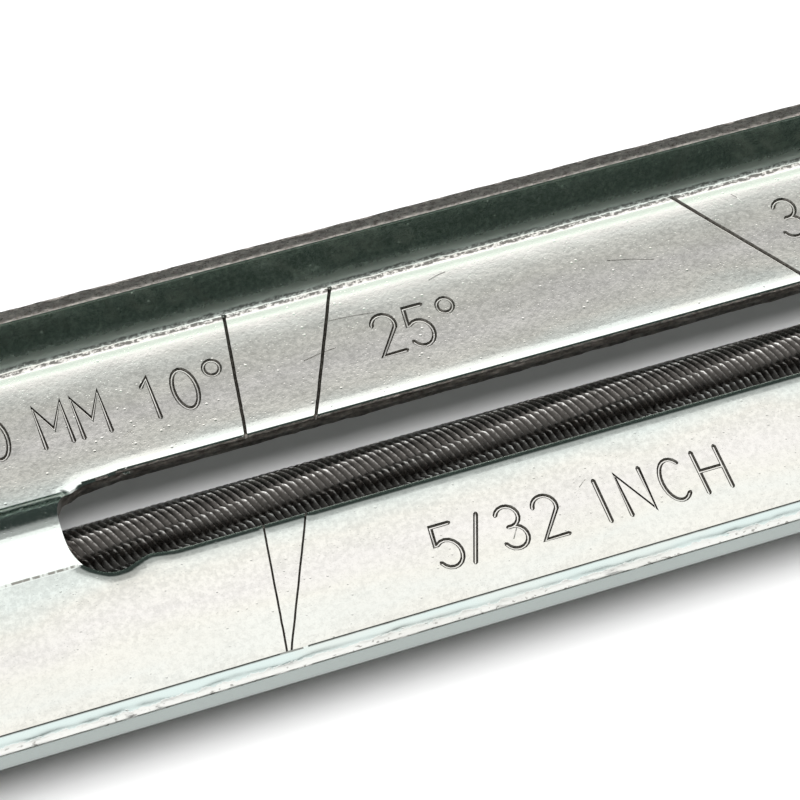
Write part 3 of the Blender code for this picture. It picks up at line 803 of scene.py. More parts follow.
def slot_tool():
    """The punch: its wall is smooth for the upper third and torn below."""
    outline = np.array(SLOT)
    n = len(outline)
    ahead = np.roll(outline, -1, axis=0) - np.roll(outline, 1, axis=0)
    normal = np.stack([ahead[:, 1], -ahead[:, 0]], 1)
    normal /= np.linalg.norm(normal, axis=1)[:, None]
    run = np.concatenate([[0], np.cumsum(np.linalg.norm(np.diff(outline, axis=0), axis=1))])
    levels = [3.5, 1.35, 1.08, 0.86, 0.72, 0.60, 0.46, 0.24, 0.02, -0.3, -2.5]
    verts = []
    for index, z in enumerate(levels):
        if z > 0.9:
            push = smooth_noise(run, 3.0, 70, 0.012)
        else:
            # the torn part stands into the slot in a ragged ledge, then falls away
            ledge = {0.86: 0.01, 0.72: -0.05, 0.60: -0.085, 0.46: -0.03, 0.24: 0.03, 0.02: 0.05}.get(z, 0.06)
            push = (
                ledge
                + smooth_noise(run, 0.9, 80 + index, 0.030)
                + smooth_noise(run, 0.46, 90 + index, 0.022)
            )
        p = outline + normal * push[:, None]
        verts += [(x, y, z) for x, y in p]
    faces = [tuple(range(n)), tuple(range((len(levels) - 1) * n, len(levels) * n))[::-1]]
    for k in range(len(levels) - 1):
        for i in range(n):
            j = (i + 1) % n
            faces.append((k * n + j, k * n + i, (k + 1) * n + i, (k + 1) * n + j))
    bm = bmesh.new()
    vs = [bm.verts.new(v) for v in verts]
    for f in faces:
        bm.faces.new([vs[i] for i in f])
    return from_bmesh("slot_punch", bm)


def groove(points, width, depth, name="groove", follow=True, ends=True, flat=0.15):
    """A round-bottomed V groove along a path on the plate's upper face."""
    pts = np.array(points, float)
    if len(pts) > 1 and np.linalg.norm(pts[0] - pts[-1]) < 1e-6:
        loop = True
        pts = pts[:-1]
    else:
        loop = False
    n = len(pts)
    ahead = np.zeros_like(pts)
    scale = np.ones(n)
    for i in range(n):
        a = pts[(i - 1) % n] if loop or i > 0 else pts[i]
        b = pts[(i + 1) % n] if loop or i < n - 1 else pts[i]
        v1 = pts[i] - a if loop or i > 0 else b - pts[i]
        v2 = b - pts[i] if loop or i < n - 1 else pts[i] - a
        v1, v2 = v1 / np.linalg.norm(v1), v2 / np.linalg.norm(v2)
        t = v1 + v2
        t /= max(np.linalg.norm(t), 1e-6)
        ahead[i] = t
        scale[i] = 1.0 / max(0.6, float(np.dot(t, v1)))
    widths = np.full(n, width)
    if not loop and ends:
        first = pts[0] - ahead[0] * width * 0.45
        last = pts[-1] + ahead[-1] * width * 0.45
        pts = np.vstack([first, pts, last])
        ahead = np.vstack([ahead[0], ahead, ahead[-1]])
        scale = np.concatenate([[1.0], scale, [1.0]])
        widths = np.concatenate([[width * 0.35], widths, [width * 0.35]])
        n += 2
    side = np.stack([-ahead[:, 1], ahead[:, 0]], 1)
    base = surface_shift(pts[:, 0], pts[:, 1]) + PLATE_T if follow else np.full(n, PLATE_T)
    over = 0.12
    lip = 0.5 + (0.5 - flat) * over / depth
    section = [(lip, over), (0.5, 0.0), (flat, -1.0), (0.0, -1.04), (-flat, -1.0), (-0.5, 0.0), (-lip, over)]
    verts, faces = [], []
    m = len(section)
    for i in range(n):
        part = 1.0 if widths[i] == width else 0.45
        for u, h in section:
            p = pts[i] + side[i] * u * widths[i] * scale[i]
            z = base[i] + (h if h > 0 else h * depth * part)
            verts.append((p[0], p[1], z))
    spans = n if loop else n - 1
    for i in range(spans):
        k = (i + 1) % n
        for j in range(m):
            jj = (j + 1) % m
            faces.append((i * m + j, i * m + jj, k * m + jj, k * m + j))
    if not loop:
        faces.append(tuple(range(m)))
        faces.append(tuple((n - 1) * m + j for j in reversed(range(m))))
    bm = bmesh.new()
    vs = [bm.verts.new(v) for v in verts]
    for f in faces:
        bm.faces.new([vs[i] for i in f])
    return from_bmesh(name, bm)


# stamped characters, each a set of strokes in a cell W wide and H high
H = 3.27
W = 1.75
GLYPHS = {
    "0": [arc(0.86, 1.635, 0.80, 1.58, 90, 450, 22)],
    "1": [[(0.0, 2.62), (0.52, 3.24), (0.52, 0.0)]],
    "2": [arc(0.86, 2.40, 0.80, 0.84, 172, -22, 12) + [(0.03, 0.03), (1.70, 0.03)]],
    "3": [arc(0.80, 2.45, 0.76, 0.79, 158, -78, 11) + [(0.62, 1.68)],
          arc(0.82, 0.86, 0.84, 0.86, 82, -158, 13)],
    "4": [[(1.72, 0.92), (0.02, 0.92), (1.16, 3.24), (1.16, 0.0)]],
    "5": [[(1.58, 3.24), (0.30, 3.24), (0.14, 1.86)] + arc(0.84, 1.04, 0.86, 1.04, 128, -150, 14)],
    "/": [[(0.0, -0.12), (1.42, 3.42)]],
    ".": [[(0.10, 0.04), (0.16, 0.04)]],
    "M": [[(0.0, 0.0), (0.0, 3.24), (0.94, 1.25), (1.88, 3.24), (1.88, 0.0)]],
    "I": [[(0.0, 0.0), (0.0, 3.24)]],
    "N": [[(0.0, 0.0), (0.0, 3.24), (1.72, 0.0), (1.72, 3.24)]],
    "C": [arc(0.94, 1.635, 0.92, 1.60, 48, 312, 18)],
    "H": [[(0.0, 0.0), (0.0, 3.24)], [(1.70, 0.0), (1.70, 3.24)], [(0.0, 1.70), (1.70, 1.70)]],
}


def stamp(char, x, y, width=0.33, depth=0.16):
    tools = []
    for index, stroke in enumerate(GLYPHS[char]):
        path = [(x + u, y + v) for u, v in stroke]
        tools.append(groove(path, width, depth, "stamp_%s_%d" % (char, index), flat=0.13))
    return tools


def ring(x, y, r=0.56, width=0.30, depth=0.14):
    return [groove([(x + u, y + v) for u, v in arc(0, 0, r, r * 1.06, 0, 360, 18)], width, depth, "degree", flat=0.13)]


FIT = -29.1           # the marks were read from x = 29.1 left of the middle
marks = []
NEAR_LINE, FAR_LINE = -9.97, 6.70
for char, x in (("5", -15.35), ("3", -10.75), ("2", -8.15)):
    marks += stamp(char, x + FIT, NEAR_LINE)
marks += [groove([(-13.13 + FIT, -10.08), (-11.80 + FIT, -6.66)], 0.33, 0.15, "stroke", flat=0.13)]
for char, x in (("I", -3.45), ("N", -1.95), ("C", 0.85), ("H", 3.62)):
    marks += stamp(char, x + FIT, NEAR_LINE)
for char, x in (("2", -13.25), ("5", -10.95)):
    marks += stamp(char, x + FIT, FAR_LINE)
marks += ring(-7.8 + FIT, 9.37)
for char, x in (("1", -29.55), ("0", -27.65)):
    marks += stamp(char, x + FIT, FAR_LINE)
marks += ring(-24.59 + FIT, 9.38)
for char, x in (("4", -43.6), (".", -41.35), ("0", -40.75), ("M", -36.9), ("M", -34.3)):
    marks += stamp(char, x + FIT, FAR_LINE)
for char, x in (("3", 17.2), ("5", 19.75)):
    marks += stamp(char, x + FIT, 7.30)
marks += ring(22.9 + FIT, 9.95)
# the other half carries the same figures for the other side's cutters
for char, x in (("2", 36.0), ("5", 38.4), ("1", 54.2), ("0", 56.1)):
    marks += stamp(char, x, FAR_LINE)
marks += ring(41.5, 9.37) + ring(59.2, 9.38)
for char, x in (("3", 5.6), ("5", 8.15)):
    marks += stamp(char, x, 7.30)
marks += ring(11.3, 9.95)


def angle_line(x_near, x_far, width, depth, seed):
    """A scribed line from the near flange's foot to the far flange's, on both strips. The far part was
    cut deeper, and its edges are ragged."""
    tools = []
    for a, b, wide in ((-13.02, SLOT_NEAR + 0.7, 0.78), (SLOT_FAR - 0.7, 13.02, 1.25)):
        k = [(y + FLAT_HALF) / (2 * FLAT_HALF) for y in np.linspace(a, b, 34)]
        ragged = smooth_noise(np.arange(34), 1.7, seed, 0.012)
        path = [(x_near + (x_far - x_near) * t + r, -FLAT_HALF + 2 * FLAT_HALF * t) for t, r in zip(k, ragged)]
        tools.append(groove(path, width * wide, depth * wide, "scribe", ends=True, flat=0.06))
    return tools


for sign in (-1.0, 1.0):
    marks += angle_line(sign * 56.2, sign * 51.52, 0.18, 0.12, 301)
    marks += angle_line(sign * 56.2 + 0.03, sign * 43.82, 0.18, 0.12, 302)
    marks += angle_line(0.0 + sign * 0.02, sign * 18.56, 0.26, 0.16, 303)
# scratches from handling
for x0, y0, x1, y1 in (
    (-45.6, 10.55, -41.7, 10.25), (-47.6, 8.0, -45.2, 8.35), (-37.2, 11.6, -35.9, 11.9), (-24.8, 9.4, -21.6, 8.5),
    (-39.2, -9.2, -38.6, -8.3), (-33.6, -6.9, -33.0, -6.5), (-14.2, 12.0, -13.7, 11.1), (12.0, 8.0, 18.0, 9.1),
    (24.0, -7.0, 31.0, -6.2), (48.0, 11.0, 51.0, 9.8), (-61.0, 6.0, -60.2, 6.3),
):
    marks.append(groove([(x0, y0), ((x0 + x1) / 2 + 0.05, (y0 + y1) / 2 + 0.06), (x1, y1)], 0.07, 0.022, "scratch", flat=0.1))


def window_tool(x, y0, y1, half):
    r = 0.6
    pts = []
    for cx, cy, a in ((half - r, y1 - r, 0), (-half + r, y1 - r, 90), (-half + r, y0 + r, 180), (half - r, y0 + r, 270)):
        pts += arc(x + cx, cy, r, r, a, a + 90, 5)
    return from_bmesh("window", prism(pts, -1.0, 4.0, "Z"))


plate = build_plate()
tools = [slot_tool()]
for side, sx in SIDES:
    x = sx * CLAMP_X
    hole = from_bmesh(
        "bolt_hole",
        revolve([(0.0, -1.0), (BOLT_D / 2 + 0.4, -1.0), (BOLT_D / 2 + 0.4, 3.0), (0.0, 3.0)], 48, closed=False),
    )
    hole.data.transform(Matrix.Translation((x, BOLT_Y, 0.0)))
    tools.append(hole)
    tools.append(window_tool(x, HOOK_Y - 0.35, HOOK_Y + CLAMP_T + 0.35, HOOK_WIDTH / 2 + 0.35))
    half_len = PLATE_LENGTH / 2
    tools.append(
        from_bmesh(
            "end_cut",
            prism(
                [
                    (sx * (half_len + 3.0), PLATE_T + 0.95),
                    (sx * (half_len - 1.0), PLATE_T + 0.95),
                    (sx * (half_len - 1.6), PLATE_T + 1.35),
                    (sx * (half_len - 5.1), PLATE_T + FLANGE_HEIGHT + 0.2),
                    (sx * (half_len - 5.1), PLATE_T + FLANGE_HEIGHT + 1.2),
                    (sx * (half_len + 3.0), PLATE_T + FLANGE_HEIGHT + 1.2),
                ],
                -20.0,
                20.0,
                "Y",
            ),
        )
    )
# the scribing tool nicked the near flange's inner edge where two lines run out
for sign in (-1.0, 1.0):
    nick = prism([(-1.5, 0.4), (-1.3, -0.04), (0.35, -0.30), (0.65, -0.22), (0.8, 0.4)], -0.16, 0.45, "Y")
    obj = from_bmesh("nick", nick)
    obj.data.transform(
        Matrix.Translation((sign * 56.2, -FLAT_HALF - FLANGE_HEIGHT * math.tan(FLARE), PLATE_T + FLANGE_HEIGHT))
    )
    tools.append(obj)

combine(plate, tools)
combine(plate, marks)


def sort_plate_faces(obj):
    """Torn edges get the coarse finish: walls of the slot, the windows, the holes and the ends."""
    mesh = obj.data
    n = len(mesh.polygons)
    centre = np.zeros(n * 3)
    normal = np.zeros(n * 3)
    index = np.zeros(n, dtype=np.int32)
    mesh.polygons.foreach_get("center", centre)
    mesh.polygons.foreach_get("normal", normal)
    mesh.polygons.foreach_get("material_index", index)
    centre, normal = centre.reshape(-1, 3), normal.reshape(-1, 3)
    d = np.abs(slot_distance(centre[:, :2]))
    steep = np.abs(normal[:, 2]) < 0.62
    wall = steep & (d < 0.16) & (np.abs(centre[:, 1]) < 5.5)
    index[:] = 0
    index[wall] = 2
    # the flanges' edges, by height along the flange and depth through its thickness
    rise_y, rise_z = math.sin(FLARE), math.cos(FLARE)
    py = np.abs(centre[:, 1]) - (FLAT_HALF + FLANGE_HEIGHT * math.tan(FLARE))
    pz = centre[:, 2] - (PLATE_T + FLANGE_HEIGHT)
    along, through = py * rise_y + pz * rise_z, py * rise_z - pz * rise_y
    rim = (along > -0.20) & (through > 0.06) & (through < 1.25)
    index[rim & (centre[:, 1] < 0.0)] = 1
    # the far rim gets its own darker finish than the near rim: painted shade
    index[rim & (centre[:, 1] > 0.0)] = 4
    # walls sunk into the upper face, the stamped marks and scribed lines, get the dark finish: painted shade in the
    # recesses
    on_rib = (np.abs(centre[:, 0]) > 64.5) & (np.abs(centre[:, 1] - 0.45) < 3.4)
    inside = np.where(
        (np.abs(normal[:, 2]) < 0.92) & (d > 0.20) & (np.abs(centre[:, 1]) < 12.95) & (centre[:, 2] > 0.95) & ~on_rib
    )[0]
    sunk = PLATE_T + surface_shift(centre[inside, 0], centre[inside, 1]) - centre[inside, 2]
    index[inside[(sunk > 0.010) & (sunk < 0.40)]] = 3
    end = (np.abs(normal[:, 0]) > 0.6) & (np.abs(centre[:, 0]) > 91.0)
    index[end] = 1
    for side, sx in SIDES:
        near_clamp = (np.abs(centre[:, 0] - sx * CLAMP_X) < 5.5) & steep & (centre[:, 2] < PLATE_T + 0.02)
        index[near_clamp & (np.abs(centre[:, 1]) < 12.0)] = 1
    mesh.polygons.foreach_set("material_index", index)
    mesh.update()


sort_plate_faces(plate)
zinc = zinc_finish("zinc_plated_sheet", bands=True)
edge = sheared_finish("sheared_edge")
wall = torn_finish("punched_wall", (0.38, 0.345, 0.32), 0.42)
# the dark finish of the stamp and scribe walls is painted shade
stamp_wall_shade = torn_finish("stamped_marks_painted_shade", (0.19, 0.18, 0.165), 0.34, scale=2.0, bump=0.12)
# painted shade: the far rim's darker copy of the sheared edge's finish
far_rim_shade = torn_finish("sheared_far_edge", (0.40, 0.37, 0.345), 0.36, scale=1.1, bump=1.0)
place(plate, [zinc.mat, edge.mat, wall.mat, stamp_wall_shade.mat, far_rim_shade.mat], "guide", "guide_plate", smooth=28)
plate.name = "plate_pressed"


# ---------------------------------------------------------------- round file
def build_file():
    """Teeth are cut in slanting strokes, laid in rows that wind slowly round the file. Across the edge
    between two rows a stroke meets one two teeth further on, a little out of line with it."""
    pitch, depth = 0.485, 0.135
    rows, strokes = 8, (8)     # columns of points across one row
    twist = math.radians(2.7)                  # how far the rows wind round, per mm
    lean = 0.50                                # how far a stroke drifts along the file, per mm round it
    start, end = FILE_HEEL, FILE_TIP - 1.0
    r0 = FILE_D / 2
    row_width = 2 * math.pi * r0 / rows
    body = FERRULE_FRONT - 3.0
    m = rows * strokes

    def radius(x):
        if x <= TANG_END + 3.0:
            return 0.55 + 0.40 * (x - TANG_END) / 3.0
        if x <= FERRULE_FRONT - 6.0:
            k = (x - TANG_END - 3.0) / (FERRULE_FRONT - 6.0 - TANG_END - 3.0)
            return 0.95 + (r0 - 0.35 - 0.95) * k
        if x <= body:
            return r0 - 0.35 + 0.30 * (x - FERRULE_FRONT + 6.0) / (body - FERRULE_FRONT + 6.0)
        if x < FILE_HEEL - 0.3:
            return r0 - 0.05
        if x <= FILE_TIP - 22.0:
            return r0
        if x <= FILE_TIP - 0.5:
            return r0 - 0.12 * (x - FILE_TIP + 22.0) / 21.5
        return r0 - 0.12 - 0.33 * (x - FILE_TIP + 0.5) / 0.5

    # rings: position and place in the tooth, None for a plain ring
    before = [(x, None) for x in (TANG_END, TANG_END + 0.4, TANG_END + 3.0, -125.0, -118.0, FERRULE_FRONT - 6.0, body,
                                  -107.0, -104.0, FILE_HEEL - 0.6, start)]
    after = [(x, None) for x in (end, FILE_TIP - 0.5, FILE_TIP - 0.28, FILE_TIP)]
    fine, plain = ((0.0, 0.14, 0.42, 0.70), (0.0, 0.20, 0.60))
    heights = {0.0: 1.0, 0.14: 0.0, 0.42: 0.05, 0.70: 0.40, 0.20: 0.0, 0.60: 0.30}
    rings = list(before)
    teeth = []
    count = int((end - start) / pitch)
    for n in range(count):
        x = start + n * pitch
        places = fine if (-77.0 < x < -2.0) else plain
        teeth.append([len(rings) + i for i in range(len(places))])
        rings += [(x + u * pitch, u) for u in places]
    first, last = len(before) - 1, len(rings)
    rings += after

    verts, crest = [], []
    for x0, u in rings:
        for j in range(m):
            c = j % strokes
            k = (c + 0.5) / strokes - 0.5
            if u is None:
                x, low, value = x0, 0.0, 0.3
            else:
                x = min(max(x0 + lean * row_width * k, start), end)
                fade = min(1.0, (x - start) / 2.5, (end - x) / 2.5)
                tooth = j // strokes + 5 * int(round(x0 / pitch))
                wear = 0.5 + 0.5 * math.sin(12.9898 * tooth)
                # a stroke starts deep and runs out shallow; the crest value is a painted highlight, brightest where the
                # stroke starts
                h = heights[u]
                run = c / (strokes - 1)
                deep = depth * (1.0 - 0.55 * run**1.5)
                low = fade * (deep * (1.0 - h) + 0.010 * wear * h + (0.030 * h if c == strokes - 1 else 0.0))
                value = h * (0.75 + 0.25 * wear) * (1.5 if c == 0 else (1.05 if c == 1 else 0.80 - 0.15 * run))
            a = math.radians(-51.6) + (j + 0.5) * 2 * math.pi / m - twist * x
            r = radius(x) - low
            verts.append((x, r * math.cos(a), r * math.sin(a)))
            crest.append(value)

    straight = [(i, i) for i in range(len(rings))]
    across = [(i, i) for i in range(first + 1)]
    across += [(first, i) for tooth in teeth[:2] for i in tooth]
    for a, b in zip(teeth, teeth[2:]):
        size = max(len(a), len(b))
        across += [(a[min(i, len(a) - 1)], b[min(i, len(b) - 1)]) for i in range(size)]
    across += [(i, last) for tooth in teeth[-2:] for i in tooth]
    across += [(i, i) for i in range(last, len(rings))]

    faces = []
    for j in range(m):
        k = (j + 1) % m
        pairs = across if k % strokes == 0 else straight
        for (a0, b0), (a1, b1) in zip(pairs, pairs[1:]):
            loop = [a0 * m + j, a1 * m + j, b1 * m + k, b0 * m + k]
            loop = [v for i, v in enumerate(loop) if v != loop[i - 1]]
            if len(loop) > 2:
                faces.append(tuple(loop))
    faces.append(tuple(range(m)))
    faces.append(tuple((len(rings) - 1) * m + j for j in reversed(range(m))))
    obj = mesh_object("file_toothed", verts, faces)
    layer = obj.data.attributes.new("crest", "FLOAT", "POINT")
    layer.data.foreach_set("value", np.array(crest, dtype=np.float32))
    bm = bmesh.new()
    bm.from_mesh(obj.data)
    bmesh.ops.remove_doubles(bm, verts=bm.verts, dist=1e-5)
    bmesh.ops.recalc_face_normals(bm, faces=bm.faces)
    bm.to_mesh(obj.data)
    bm.free()
    return obj


def file_finish():
    f = Finish("file_steel")
    f.set(Metallic=1.0)
    c = f.attribute("crest")
    here = f.mapping()
    patchy_shine = f.noise(here, 5.0, 3.0, 0.6)
    c2 = f.math("MULTIPLY", c, f.ramp(patchy_shine, 0.30, 0.70, 0.62, 1.22))
    # painted highlight on the tooth crests and painted shade in the gullets, made patchy by noise
    f.to(
        f.colours(
            c2,
            [(0.0, (0.042, 0.039, 0.036)), (0.35, (0.095, 0.088, 0.083)), (0.70, (0.31, 0.295, 0.285)), (1.0, (0.95, 0.935, 0.92))],
        ),
        "Base Color",
    )
    f.to(f.math("ADD", f.ramp(f.noise(here, 6.0, 2.0), 0.3, 0.7, 0.24, 0.38), f.ramp(c2, 0.5, 1.0, 0.0, 0.12)), "Roughness")
    f.bump(f.noise(here, 12.0, 2.0), 0.006)
    return f


file_obj = build_file()
place(file_obj, [file_finish().mat], "file", "round_file", origin=(0.0, FILE_Y, FILE_Z), smooth=45)

# ---------------------------------------------------------------- handle and ferrule
def handle_radius(s):
    """Radius of the turned handle, s from 0 at the ferrule's rear to 1 at the butt."""
    waist = 7.05
    if s < 0.10:
        return 7.55 - 0.5 * math.sin(math.pi / 2 * s / 0.10)
    if s < 0.62:
        k = (s - 0.10) / 0.52
        return waist + (HANDLE_R - waist) * (0.5 - 0.5 * math.cos(math.pi * k))
    k = (s - 0.62) / 0.38
    return HANDLE_R - 1.3 * (0.5 - 0.5 * math.cos(math.pi * min(k, 1.0)))


def handle_profile():
    fr = FILE_D / 2
    pts = [
        (fr + 0.35, FERRULE_FRONT - 1.2), (5.40, FERRULE_FRONT - 1.2), (5.60, FERRULE_FRONT - 1.3),
        (5.75, FERRULE_FRONT - 1.6), (5.85, FERRULE_REAR + 0.2), (5.85, FERRULE_REAR - GAP),
        (7.15, FERRULE_REAR - GAP), (7.38, FERRULE_REAR - GAP - 0.10), (7.50, FERRULE_REAR - GAP - 0.28),
        (7.55, FERRULE_REAR - GAP - 0.5),
    ]
    start = FERRULE_REAR - GAP - 0.5
    butt = HANDLE_END + 4.2
    steps = 150
    for i in range(1, steps + 1):
        s = i / steps
        h = start + (butt - start) * s
        r = handle_radius(s)
        # two turned rings behind the ferrule and one before the butt
        for at, deep, wide in ((0.075, 0.42, 0.0052), (0.105, 0.42, 0.0052), (0.925, 0.32, 0.0050)):
            r -= deep * max(0.0, 1.0 - abs(s - at) / (wide * 1.6)) ** 0.8
        r -= 0.010 * (0.5 + 0.5 * math.sin(s * 611.0))
        pts.append((r, h))
    end_r = handle_radius(1.0)
    for i in range(1, 13):
        a = math.pi / 2 * i / 12
        pts.append((end_r * (1 - 0.62 * (1 - math.cos(a))), butt - 4.2 * math.sin(a)))
    tip = pts[-1][0]
    pts += [(tip * 0.97, HANDLE_END - 0.0), (tip * 0.6, HANDLE_END), (0.55, HANDLE_END), (0.35, HANDLE_END + 0.45), (0.0, HANDLE_END + 0.6)]
    pts += [(0.0, TANG_END - 1.2), (0.95, TANG_END - 0.8), (1.35, TANG_END + 3.0), (fr + 0.1, FERRULE_FRONT - 6.0),
            (fr + 0.35, FERRULE_FRONT - 3.0)]
    return pts


def wood_finish():
    """Turned hardwood with its grain along the handle, under a worn satin varnish."""
    f = Finish("varnished_wood")
    parts = f.node("ShaderNodeSeparateXYZ")
    bent = f.mapping(scale=(0.012, 1.0, 1.0), location=(3.0, 14.0, -21.0))
    drift = f.noise(f.mapping(scale=(0.02, 0.08, 0.08)), 1.0, 2.0, 0.5)
    f.link(bent, parts.inputs["Vector"])
    y2 = f.math("POWER", parts.outputs["Y"], 2.0)
    z2 = f.math("POWER", parts.outputs["Z"], 2.0)
    radius = f.math("SQRT", f.math("ADD", y2, z2))
    rings = f.math("FRACT", f.math("ADD", f.math("MULTIPLY", radius, 0.42), f.math("MULTIPLY", drift, 3.2)))
    year = f.ramp(rings, 0.0, 0.82, 0.0, 1.0)
    late = f.ramp(rings, 0.82, 1.0, 1.0, 0.0)
    band = f.math("MULTIPLY", year, late)
    fibre = f.noise(f.mapping(scale=(0.035, 1.6, 1.6)), 1.6, 4.0, 0.6)
    fleck = f.noise(f.mapping(scale=(0.42, 6.5, 6.5)), 1.0, 1.0, 0.4)
    tone = f.math("ADD", f.math("MULTIPLY", band, 0.45), f.math("MULTIPLY", fibre, 0.60))
    wood = f.colours(
        tone,
        [(0.10, (0.50, 0.275, 0.105)), (0.35, (0.43, 0.225, 0.082)), (0.58, (0.345, 0.165, 0.055)),
         (0.85, (0.24, 0.105, 0.034))],
    )
    pore = f.ramp(fleck, 0.64, 0.71, 0.0, 0.50)
    wood = f.mix(pore, wood, (0.105, 0.043, 0.014))
    rub = f.ramp(f.noise(f.mapping(), 0.055, 3.0, 0.6), 0.56, 0.72, 0.0, 0.16)
    wood = f.mix(rub, wood, (0.62, 0.42, 0.22))
    f.to(wood, "Base Color")
    f.to(f.ramp(fibre, 0.3, 0.7, 0.30, 0.46), "Roughness")
    f.set(Coat_Weight=0.55, Coat_Roughness=0.14)
    f.bump(fibre, 0.05)
    f.bump(f.math("MULTIPLY", pore, -1.0), 0.05)
    return f


handle = from_bmesh("handle_turned", revolve(handle_profile(), 112, axis="X"))
place(handle, [wood_finish().mat], "file", "handle", origin=(0.0, FILE_Y, FILE_Z), smooth=38)


def ferrule_profile():
    front, rear = FERRULE_FRONT, FERRULE_REAR
    outer = spline(
        [(3.4, front - 0.15), (4.6, front - 0.03), (5.75, front - 0.01), (6.22, front - 0.16), (6.47, front - 0.48),
         (6.60, front - 0.95), (6.68, front - 1.6), (6.74, front - 2.6)],
        4,
    )
    for i in range(1, 25):
        k = i / 24
        outer.append((6.74 + 0.20 * k, front - 2.6 - 7.4 * k))
    outer += [(6.95, front - 10.3), (7.02, front - 10.6), (7.12, front - 10.9), (7.15, front - 11.25),
              (7.15, front - 11.6), (7.12, front - 11.95), (7.02, front - 12.25), (6.97, front - 12.5)]
    outer += [(6.97, front - 13.4), (6.97, rear + 0.25), (6.90, rear + 0.06), (6.80, rear), (6.22, rear), (6.12, rear + 0.06)]
    inner = [(6.06, rear + 3.0), (6.0, front - 1.5), (5.9, front - 1.12), (5.7, front - 0.95), (3.55, front - 0.95), (3.4, front - 0.85)]
    return outer + inner


def ferrule_dimples(index, angle, h):
    """Four punch marks that hold the ferrule on the wood, pressed into the outer skin only."""
    if index >= FERRULE_SKIN:
        return 0.0
    out = 0.0
    for k in range(4):
        da = (angle - math.pi / 4 - k * math.pi / 2 + math.pi) % (2 * math.pi) - math.pi
        dd = (da * 6.8 / 0.85) ** 2 + ((h - (FERRULE_FRONT - 6.6)) / 0.85) ** 2
        out -= 0.36 * math.exp(-dd * 1.1)
    return out


profile = ferrule_profile()
FERRULE_SKIN = len(profile) - 7
ferrule = from_bmesh("ferrule_drawn", revolve(profile, 128, axis="X", ripple=ferrule_dimples))
tube = zinc_finish("drawn_tube", (0.74, 0.73, 0.70), pits=0.5, seed=11.0, gloss=0.16)
turned = tube.noise(tube.mapping(scale=(9.0, 0.25, 0.25), location=(4.0, 0.0, 0.0)), 1.0, 2.0, 0.6)
tube.bump(turned, 0.004)
place(ferrule, [tube.mat], "file_carriage", "ferrule", origin=(0.0, FILE_Y, FILE_Z), smooth=40)


# ---------------------------------------------------------------- clamps, bolts, washers, wing nuts
def rounded(points, radius, steps=4):
    """A closed outline with each corner rounded; radius is one number, or one for each point."""
    n = len(points)
    out = []
    for i, p in enumerate(points):
        r = radius if isinstance(radius, (int, float)) else radius[i]
        p = np.array(p, float)
        a, b = np.array(points[i - 1], float) - p, np.array(points[(i + 1) % n], float) - p
        la, lb = np.linalg.norm(a), np.linalg.norm(b)
        a, b = a / la, b / lb
        half = math.acos(max(-1.0, min(1.0, float(np.dot(a, b))))) / 2
        if r < 1e-6 or half > 1.50:
            out.append(tuple(p))
            continue
        cut = min(r / math.tan(half), 0.46 * la, 0.46 * lb)
        p0, p1 = p + a * cut, p + b * cut
        for k in range(steps + 1):
            t = k / steps
            out.append(tuple(p0 * (1 - t) ** 2 + 2 * p * t * (1 - t) + p1 * t**2))
    return out


def web_outline():
    t = CLAMP_T
    apex_z = FILE_Z - (FILE_D / 2 + 0.3) / math.sin(math.pi / 2 - GROOVE_SLOPE)
    run = (WEB_TOP - apex_z) / math.tan(GROOVE_SLOPE)
    shift = t * math.tan(GROOVE_SLOPE / 2)
    near, far = -13.4, HOOK_Y + t
    drop = t / math.cos(GROOVE_SLOPE)
    pts = [
        ((near, WEB_TOP), 0.25), ((FILE_Y - run, WEB_TOP), 1.2),
        ((FILE_Y, apex_z), 0.9), ((FILE_Y + run, WEB_TOP), 1.2),
        ((HOOK_Y - 0.55, WEB_TOP), 0.5), ((HOOK_Y, WEB_TOP + 0.6), 0.0),
        ((far, WEB_TOP + 0.6), 0.0), ((far, WEB_TOP - t + 1.2), 0.8),
        ((far - 1.4, WEB_TOP - t), 0.8), ((FILE_Y + run + shift, WEB_TOP - t), 1.4),
        ((FILE_Y, apex_z - drop), 1.6), ((FILE_Y - run - shift, WEB_TOP - t), 1.4), ((near, WEB_TOP - t), 0.25),
    ]
    return rounded([p for p, _ in pts], [r for _, r in pts])


def skirt_outline():
    low = -BASE_Z
    apex_z = FILE_Z - (FILE_D / 2 + 0.3) / math.sin(math.pi / 2 - GROOVE_SLOPE)
    run = (WEB_TOP - apex_z) / math.tan(GROOVE_SLOPE)
    d, far = 0.35, HOOK_Y + CLAMP_T
    pts = [
        ((-13.4, WEB_TOP - d), 0.4), ((FILE_Y - run - 0.13, WEB_TOP - d), 0.8), ((FILE_Y, apex_z - d), 0.9),
        ((FILE_Y + run + 0.13, WEB_TOP - d), 0.8), ((far - 0.7, WEB_TOP - d), 0.3), ((far, WEB_TOP - 1.2), 0.5),
        ((far, -6.2), 0.8), ((far - 2.75, low), 0.7), ((-10.9, low), 0.7), ((-13.4, -6.0), 0.9),
    ]
    return rounded([p for p, _ in pts], [r for _, r in pts])


def hook_outline():
    t = CLAMP_T
    lip_z = PLATE_T + GAP
    pts = [
        ((HOOK_Y, WEB_TOP - 0.6), 0.0), ((HOOK_Y + t, WEB_TOP - 0.6), 0.0), ((HOOK_Y + t, lip_z), 0.15),
        ((HOOK_REACH, lip_z), 0.2), ((HOOK_REACH, lip_z + t), 0.35), ((HOOK_Y, lip_z + t), 1.3),
    ]
    return rounded([p for p, _ in pts], [r for _, r in pts], 6)


